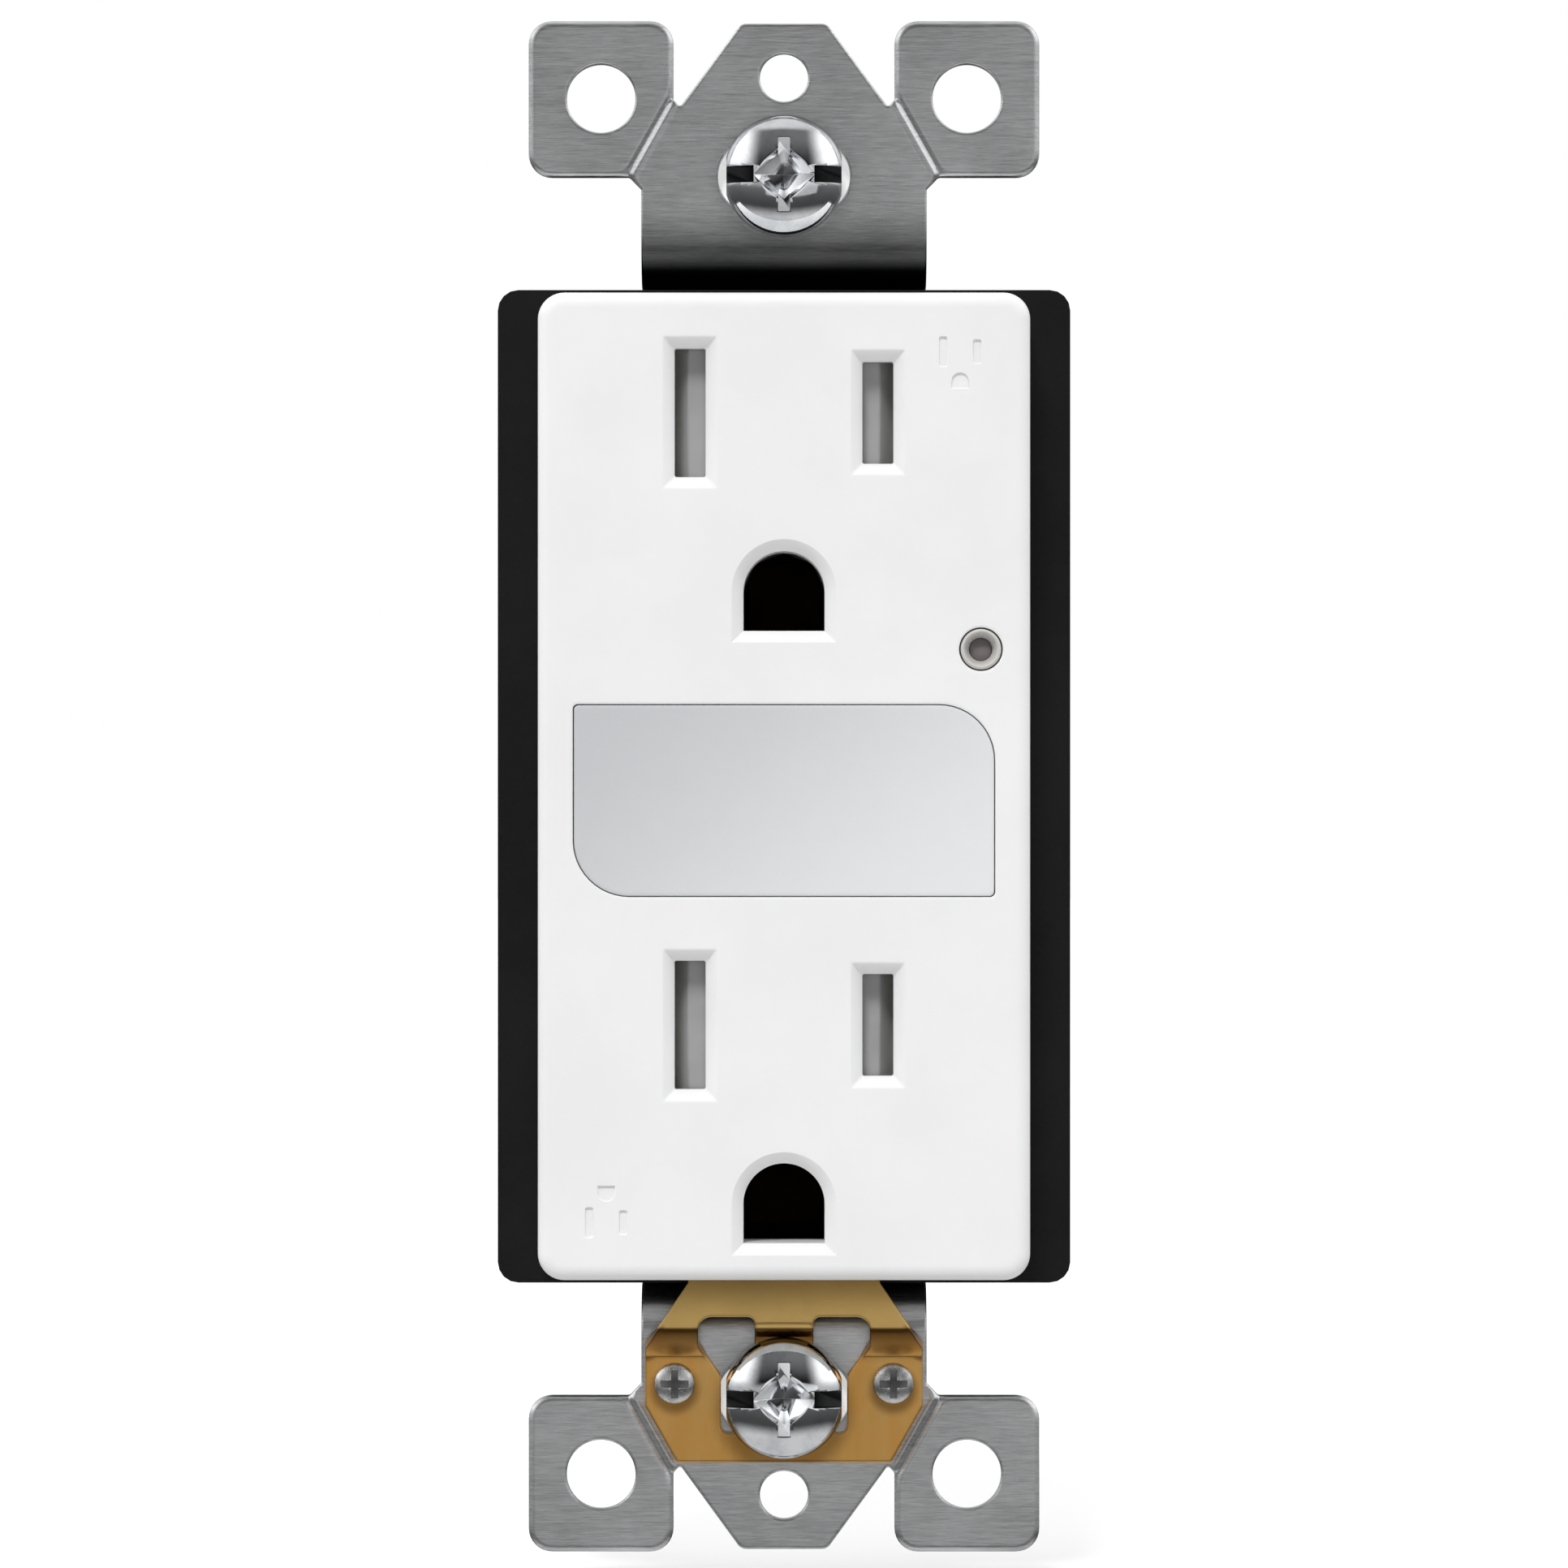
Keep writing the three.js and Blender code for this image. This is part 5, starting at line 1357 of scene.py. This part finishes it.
@dataclass
class GroundBracket:
    """The brass bracket over the strap's lower end, and the strip inside that it belongs to."""

    thickness: float = 0.8
    edge: float = 0.1
    seat: float = -1.65
    shelf: float = -2.9
    end: float = -46.1

    def depth(self, u: float, z: float) -> tuple[float, float]:
        """The middle's depth and slope at a point: the tongue steps down sooner than the rest."""
        top, foot = (-36.55, -37.4) if abs(u) < 2.6 and z < -36.2 else (-36.9, -38.9)
        reach = min(max((top - z) / (top - foot), 0.0), 1.0)
        ease = reach * reach * (3 - 2 * reach)
        steep = 6 * reach * (1 - reach) * (self.seat - self.shelf) / (foot - top)
        return self.shelf + (self.seat - self.shelf) * ease, steep

    def surface(self, u: float, z: float) -> tuple[Triple, Triple]:
        """The sheet's middle and its front's direction."""
        y, slope = self.depth(u, z)
        size = math.hypot(1.0, slope)
        return (u, y, z), (0.0, -1 / size, slope / size)

    def outline(self) -> Outline:
        """The bracket's edge."""
        half = [
            (7.3, self.end, 0.25),
            (9.45, -42.3, 0.3),
            (9.45, -38.1, 0.3),
            (6.55, -33.8, 0.3),
            (6.4, -32.9, 0.1),
        ]
        return divided(rounded(mirrored(half), 5), 0.4)

    def opening(self) -> Outline:
        """The opening round the screw, with the contact tongue in its top."""
        half = [
            (2.0, -39.5, 0.3),
            (2.0, -36.1, 0.5),
            (5.85, -36.1, 1.4),
            (5.85, -38.0, 0.7),
            (4.3, -40.2, 0.6),
            (4.3, -44.1, 0.5),
        ]
        return divided(rounded(mirrored(half), 9), 0.3)

    def extra(self) -> list[Pair]:
        """Points inside the faces where they slope."""
        return [(u * 0.62, -36.4 - 0.14 * k) for u in range(-15, 16) for k in range(21)]

    def inner_run(self) -> Thing:
        """The strip behind the contacts, cut from the frame's own shape where it enters the cover."""
        made = merged_copy("ground_strip")
        cut = bmesh.ops.bisect_plane(
            made,
            geom=[*made.verts, *made.edges, *made.faces],
            plane_co=(0, 0, -32.95 * MM),
            plane_no=(0, 0, -1),
            clear_outer=True,
        )
        rim = [item for item in cut["geom_cut"] if isinstance(item, bmesh.types.BMEdge)]
        bmesh.ops.contextual_create(made, geom=rim)
        return bevelled(as_object(made, "ground_run", 28.0), 0.06, 1)

    def dress(self) -> None:
        """Builds and dresses the bracket and the strip inside."""
        shell = Shell()
        FormedSheet(
            self.outline(), [self.opening()], self.thickness, self.edge, self.surface, extra=self.extra()
        ).add(shell)
        dress(shell.finished("ground_bracket", 40.0), Finish.BRACKET, "device", ["ground_strip"])
        dress(self.inner_run(), Finish.GRIP, "device", [])


# ---------- Screws and rivets ----------


def dome_height(reach: float) -> float:
    """The height of a head's dome, from 1 at its middle to 0 at its edge."""
    return math.sqrt(max(0.0, 1 - min(reach, 1.0) ** (2 / 0.92)))


def mark_recess(thing: Thing, depth: Callable[[float, float, float], float]) -> None:
    """Stores on each point how deep it lies in a recess, from 0 at the surface to 1; the finish paints shade
    by it.

    Args:
        thing: The head.
        depth: Gives the depth below the head's surface, in millimetres, at a point in millimetres.
    """
    stored = thing.data.attributes.new(RECESS, "FLOAT", "POINT")
    for vertex, value in zip(thing.data.vertices, stored.data):
        x, y, z = vertex.co / MM
        value.value = min(max((depth(x, y, z) - 0.12) / 0.35, 0.0), 1.0) if y < -0.05 else 0.0


@dataclass
class ComboScrew:
    """A domed screw with a slotted, square and cross recess, its head towards -Y and its seat at y = 0."""

    radius: float
    height: float
    rim: float
    flat: float
    core: float
    ridge: float
    length: float
    slot: float = 1.15
    square: float = 2.05
    arm: float = 2.5
    deep: float = 1.75

    def head(self) -> Thing:
        """The head and the shank's core, with the recess cut and its lips rounded."""
        rise = self.height - self.rim
        dome = []
        for k in range(13):
            angle = math.pi / 2 * k / 12
            dome.append((self.radius * math.cos(angle) ** 0.92, -self.rim - rise * math.sin(angle)))
        dome[-1] = (0.0, -self.height)
        tip = self.length
        profile = [(0.0, tip), (self.core * 0.6, tip), (self.core, tip - 0.6), (self.core, 0.35)]
        profile += [(self.core + self.ridge, 0.0), (self.radius - 0.25, 0.0), (self.radius, -0.14), *dome]
        shell = Shell()
        shell.turned(profile, 96)
        made = shell.finished("screw", 30.0)
        top, reach = -self.height, self.radius + 1
        half, arm, square = self.slot / 2, self.arm, self.square
        diamond = [(0.0, -square), (square, 0.0), (0.0, square), (-square, 0.0)]
        cutters = [prism(diamond, top - 1, top + 0.34, top + self.deep * 0.9)]
        for side in (1, -1):
            start = side * square * 0.96
            blade = [(start, -half), (side * reach, -half), (side * reach, half), (start, half)]
            inner = square * 0.6
            cross = rectangle(0, side * (inner + arm) / 2, self.slot * 0.7, arm - inner, (0.05,) * 4, 1)
            cutters.append(prism(anticlockwise(blade), top - 1, top + self.deep))
            cutters.append(prism(cross, top - 1, top + 0.6))
        if self.flat < self.radius:
            for side in (1, -1):
                wide = rectangle(side * (self.flat + 9.0) / 2, 0, 9.0 - self.flat, 18.0, (0.0,) * 4)
                cutters.append(prism(wide, -self.height - 1, 0.5))
        made = bevelled(carved(made, cutters), 0.08, 2, 28.0)
        mark_recess(made, lambda x, y, z: self.depth(x, y, z))
        return made

    def depth(self, x: float, y: float, z: float) -> float:
        """How deep a point lies in the slot, for painted shade there; the square and the cross get no painted
        shade.
        """
        if abs(z) > self.slot / 2 + 0.04 or abs(x) < self.square * 0.95:
            return 0.0
        return y + self.rim + (self.height - self.rim) * dome_height(math.hypot(x, z) / self.radius)

    def build(self, name: str, finish: Finish, tree: Assembly, place: Matrix) -> Thing:
        """The whole screw with its thread, moved to its place."""
        made = self.head()
        made.name = name
        run = self.length - 1.6
        sizes = {"Core": self.core * MM, "Ridge": self.ridge * MM, "Length": run * MM}
        tree.apply(made, finish, Turns=run / PITCH, **sizes)
        made.data.transform(place)
        return made


def screw_place(at: Triple, side: int = 0) -> Matrix:
    """A screw's place in metres: its head towards -Y, or towards +X or -X where side is 1 or -1."""
    return Matrix.Translation(Vector(at) * MM) @ Matrix.Rotation(side * math.pi / 2, 4, "Z")


@dataclass
class SmallHead:
    """A small domed head with a cross recess, towards -Y or +Y, for rivets and assembly screws."""

    radius: float
    height: float
    shank: float
    length: float
    cross: Pair
    way: int = -1

    def build(self, name: str) -> Thing:
        """One fastener with its seat at y = 0."""
        way, rim = self.way, self.height * 0.42
        dome = [
            (self.radius * math.cos(a), way * (rim + (self.height - rim) * math.sin(a)))
            for a in [math.pi / 2 * k / 8 for k in range(9)]
        ]
        dome[-1] = (0.0, way * self.height)
        end = -way * self.length
        profile = [(0.0, end), (self.shank, end), (self.shank, 0.0), (self.radius - 0.12, 0.0)]
        shell = Shell()
        shell.turned([*profile, (self.radius, way * 0.1), *dome], 48)
        made = shell.finished(name, 30.0)
        reach, half = self.cross
        if not reach:
            return made
        quarter = [(half, half), (half, reach), (-half, reach)]
        turns = ((1, 0), (0, 1), (-1, 0), (0, -1))
        plus = [(c * u - s * v, s * u + c * v) for c, s in turns for u, v in quarter]
        top = sorted((way * (self.height + 0.5), way * self.height * 0.45))
        made = bevelled(carved(made, [prism(anticlockwise(plus), *top)]), 0.05, 2, 28.0)
        if way < 0:
            rise = self.height - rim
            mark_recess(made, lambda x, y, z: y + rim + rise * dome_height(math.hypot(x, z) / self.radius))
        return made


@dataclass
class Fasteners:
    """Every screw, rivet, washer and clamp of the device."""

    def arrays(self) -> None:
        """The rivets and assembly screws, copied on their grids."""
        tree = array_tree()
        jobs = [
            (SmallHead(1.38, 0.8, 0.9, 2.0, (0.95, 0.24)), "bracket_rivet", ("left", "right"), Finish.RIVET),
            (SmallHead(2.2, 0.8, 1.2, 4.6, (0.0, 0.0), 1), "back_rivet", ("lower", "upper"), Finish.RIVET),
            (
                SmallHead(2.2, 1.6, 1.2, 18.8, (1.3, 0.32), 1),
                "assembly_screw",
                ("left_lower", "right_upper", "left_upper", "right_lower"),
                Finish.ZINC,
            ),
        ]
        for form, stem, ends, finish in jobs:
            nodes = [f"{stem}_{end}" for end in ends]
            first, last = middle(nodes[0]), middle(nodes[1])
            made = form.build(f"{stem}_set")
            across, along = abs(last.x - first.x), abs(last.z - first.z)
            tree.apply(
                made,
                finish,
                Across=across * MM,
                Along=along * MM,
                Columns=2 if across > 1 else 1,
                Rows=2 if along > 1 else 1,
            )
            seat = low(nodes[0]).y + form.height if form.way < 0 else high(nodes[0]).y - form.height
            centre = (first + last) / 2
            made.data.transform(Matrix.Translation(Vector((centre.x, seat, centre.z)) * MM))
            dress(made, finish, "device", nodes)

    def mounting(self, tree: Assembly) -> None:
        """The two mounting screws and their washers."""
        form = ComboScrew(4.15, 2.4, 0.5, 3.93, 1.48, 0.27, 19.0, square=2.15)
        for level in ("upper", "lower"):
            node = f"{level}_mounting_screw"
            at = (0.0, low(node).y + form.height, middle(node).z)
            made = form.build(f"{level}_combo_screw", Finish.CHROME, tree, screw_place(at))
            dress(made, Finish.CHROME, node, [node])
            washer = f"{level}_retainer_washer"
            dress_node(washer, Finish.WASHER, 0.12, body=washer)

    def terminals(self, tree: Assembly) -> None:
        """The terminal screws and their clamps."""
        for stem in ("upper_hot", "lower_hot", "upper_neutral", "lower_neutral", "ground"):
            side = 1 if "hot" in stem else -1
            node = f"{stem}_screw"
            radius = (high(node).z - low(node).z) / 2
            form = ComboScrew(radius, 2.4, 1.2, radius, 1.4, 0.33, 5.8, 1.1, 1.5, 1.9, 1.1)
            outer = high(node).x if side > 0 else low(node).x
            at = (outer - side * form.height, middle(node).y, middle(node).z)
            finish = Finish.GREEN if stem == "ground" else Finish.SCREW_BRASS if side > 0 else Finish.ZINC
            made = form.build(f"{stem}_terminal_screw", finish, tree, screw_place(at, side))
            dress(made, finish, node, [node])
            clamp = f"{stem}_clamp"
            dress_node(clamp, Finish.CLAMP, 0.12, body=clamp)

    def dress(self) -> None:
        """Builds and dresses every fastener."""
        tree = thread_tree()
        self.arrays()
        self.mounting(tree)
        self.terminals(tree)


@dataclass
class Body:
    """The housing, the contacts and the plate over them."""

    def dress(self) -> None:
        """Builds and dresses the body's pieces."""
        dress_node("rear_housing", Finish.HOUSING, 0.22)
        dress_node("contact_retainer", Finish.RETAINER, 0.12)
        for line in ("hot", "neutral"):
            dress_node(f"{line}_contact", Finish.CONTACT, 0.06, 1)


# ---------- Studio ----------


@dataclass
class Studio:
    """The camera, the lights, the surroundings and the floor."""

    distance: float = 500.0
    view_width: float = 105.86
    face_y: float = -7.0

    def camera(self) -> None:
        """The camera, square to the face."""
        data = bpy.data.cameras.new("camera")
        data.sensor_width = 36.0
        data.lens = 36.0 * self.distance / self.view_width
        data.clip_start, data.clip_end = 0.01, 50.0
        made = bpy.data.objects.new("camera", data)
        made.location = (0.0, (self.face_y - self.distance) * MM, 0.16 * MM)
        made.rotation_euler = (math.pi / 2, 0.0, 0.0)
        bpy.context.scene.collection.objects.link(made)
        bpy.context.scene.camera = made

    def sun(self, name: str, way: Triple, power: float, spread: float) -> None:
        """A soft light from far off in a direction, even over the device and not mirrored in its metal."""
        data = bpy.data.lights.new(name, "SUN")
        data.energy = power
        data.angle = math.radians(spread)
        made = bpy.data.objects.new(name, data)
        made.rotation_euler = Vector(way).to_track_quat("Z", "Y").to_euler()
        made.visible_glossy = False
        bpy.context.scene.collection.objects.link(made)

    def panel(self, name: str, at: Triple, size: Pair, power: float) -> None:
        """A rectangular light that points at the device, seen as a bright patch in its metal."""
        data = bpy.data.lights.new(name, "AREA")
        data.shape = "RECTANGLE"
        data.size, data.size_y = size
        data.energy = power
        made = bpy.data.objects.new(name, data)
        made.location = at
        made.rotation_euler = Vector(at).to_track_quat("Z", "Y").to_euler()
        bpy.context.scene.collection.objects.link(made)

    def surroundings(self) -> None:
        """White behind the device, and a studio that its metal reflects."""
        world = bpy.data.worlds.new("studio")
        bpy.context.scene.world = world
        world.use_nodes = True
        tree = Tree(world.node_tree)
        tree.tree.nodes.clear()
        way = tree.node("ShaderNodeTexCoord").outputs["Generated"]
        split = tree.node("ShaderNodeSeparateXYZ", inputs={0: way})
        x, y, z = (Channel(tree, split.outputs[i]) for i in range(3))
        high_wall = z.between(-0.5, 0.75)
        overhead = z.between(0.08, 0.2) * z.between(0.93, 0.82)
        hood = overhead * x.size().between(0.6, 0.36) * y.between(0.2, -0.1)
        windows = x.size().between(0.5, 0.75) * z.between(0.12, 0.35)
        table = z.between(-0.04, -0.16) * z.between(-0.62, -0.46)
        ground = z.between(-0.55, -0.72)
        room = 0.41 + 0.5 * high_wall - 0.7 * hood + 0.9 * windows - 0.34 * table + 0.35 * ground
        studio = tree.node("ShaderNodeBackground", inputs={"Strength": room})
        backdrop = tree.node("ShaderNodeBackground", inputs={"Color": (1, 1, 1, 1), "Strength": 1.0})
        seen = tree.node("ShaderNodeLightPath").outputs["Is Camera Ray"]
        mix = tree.node("ShaderNodeMixShader", inputs={0: seen, 1: studio.outputs[0], 2: backdrop.outputs[0]})
        tree.node("ShaderNodeOutputWorld", inputs={0: mix.outputs[0]})

    def floor(self) -> None:
        """A pale floor under the device."""
        made = bmesh.new()
        bmesh.ops.create_grid(made, x_segments=1, y_segments=1, size=3.0)
        bmesh.ops.translate(made, verts=made.verts, vec=(0, 0, low("mounting_strap").z * MM - 0.0022))
        thing = as_object(made, "floor")
        finish = Recipe("floor_pale")
        pale = finish.tint((0.6, 0.6, 0.6), (0.64, 0.64, 0.64), finish.noise((0.004,) * 3))
        camera_ray = Channel(finish, finish.node("ShaderNodeLightPath").outputs["Is Camera Ray"])
        seen = finish.tint((0.0, 0.0, 0.0), (1.0, 1.0, 1.0), camera_ray)
        finish.set(Base_Color=pale, Roughness=0.8, Emission_Color=seen, Emission_Strength=0.5)
        thing.data.materials.append(finish.material)
        thing.visible_glossy = False

    def build(self) -> None:
        """Builds the whole studio."""
        bpy.context.scene.view_settings.view_transform = "Standard"
        self.camera()
        self.surroundings()
        self.sun("key", (-0.14, -0.62, 0.78), 2.0, 14.0)
        self.panel("low_panel", (0.1, -0.62, -0.03), (0.6, 0.2), 0.15)
        self.floor()


def main() -> None:
    """Builds every piece in order."""
    logging.basicConfig(level=logging.INFO, format="%(name)s %(message)s", stream=sys.stdout)
    for group in (FaceCover(), GuideLight(), Shutters(), Strap(), GroundBracket(), Fasteners(), Body()):
        group.dress()
        log.info("finished %s", type(group).__name__)
    Studio().build()


if __name__ == "__main__":
    main()
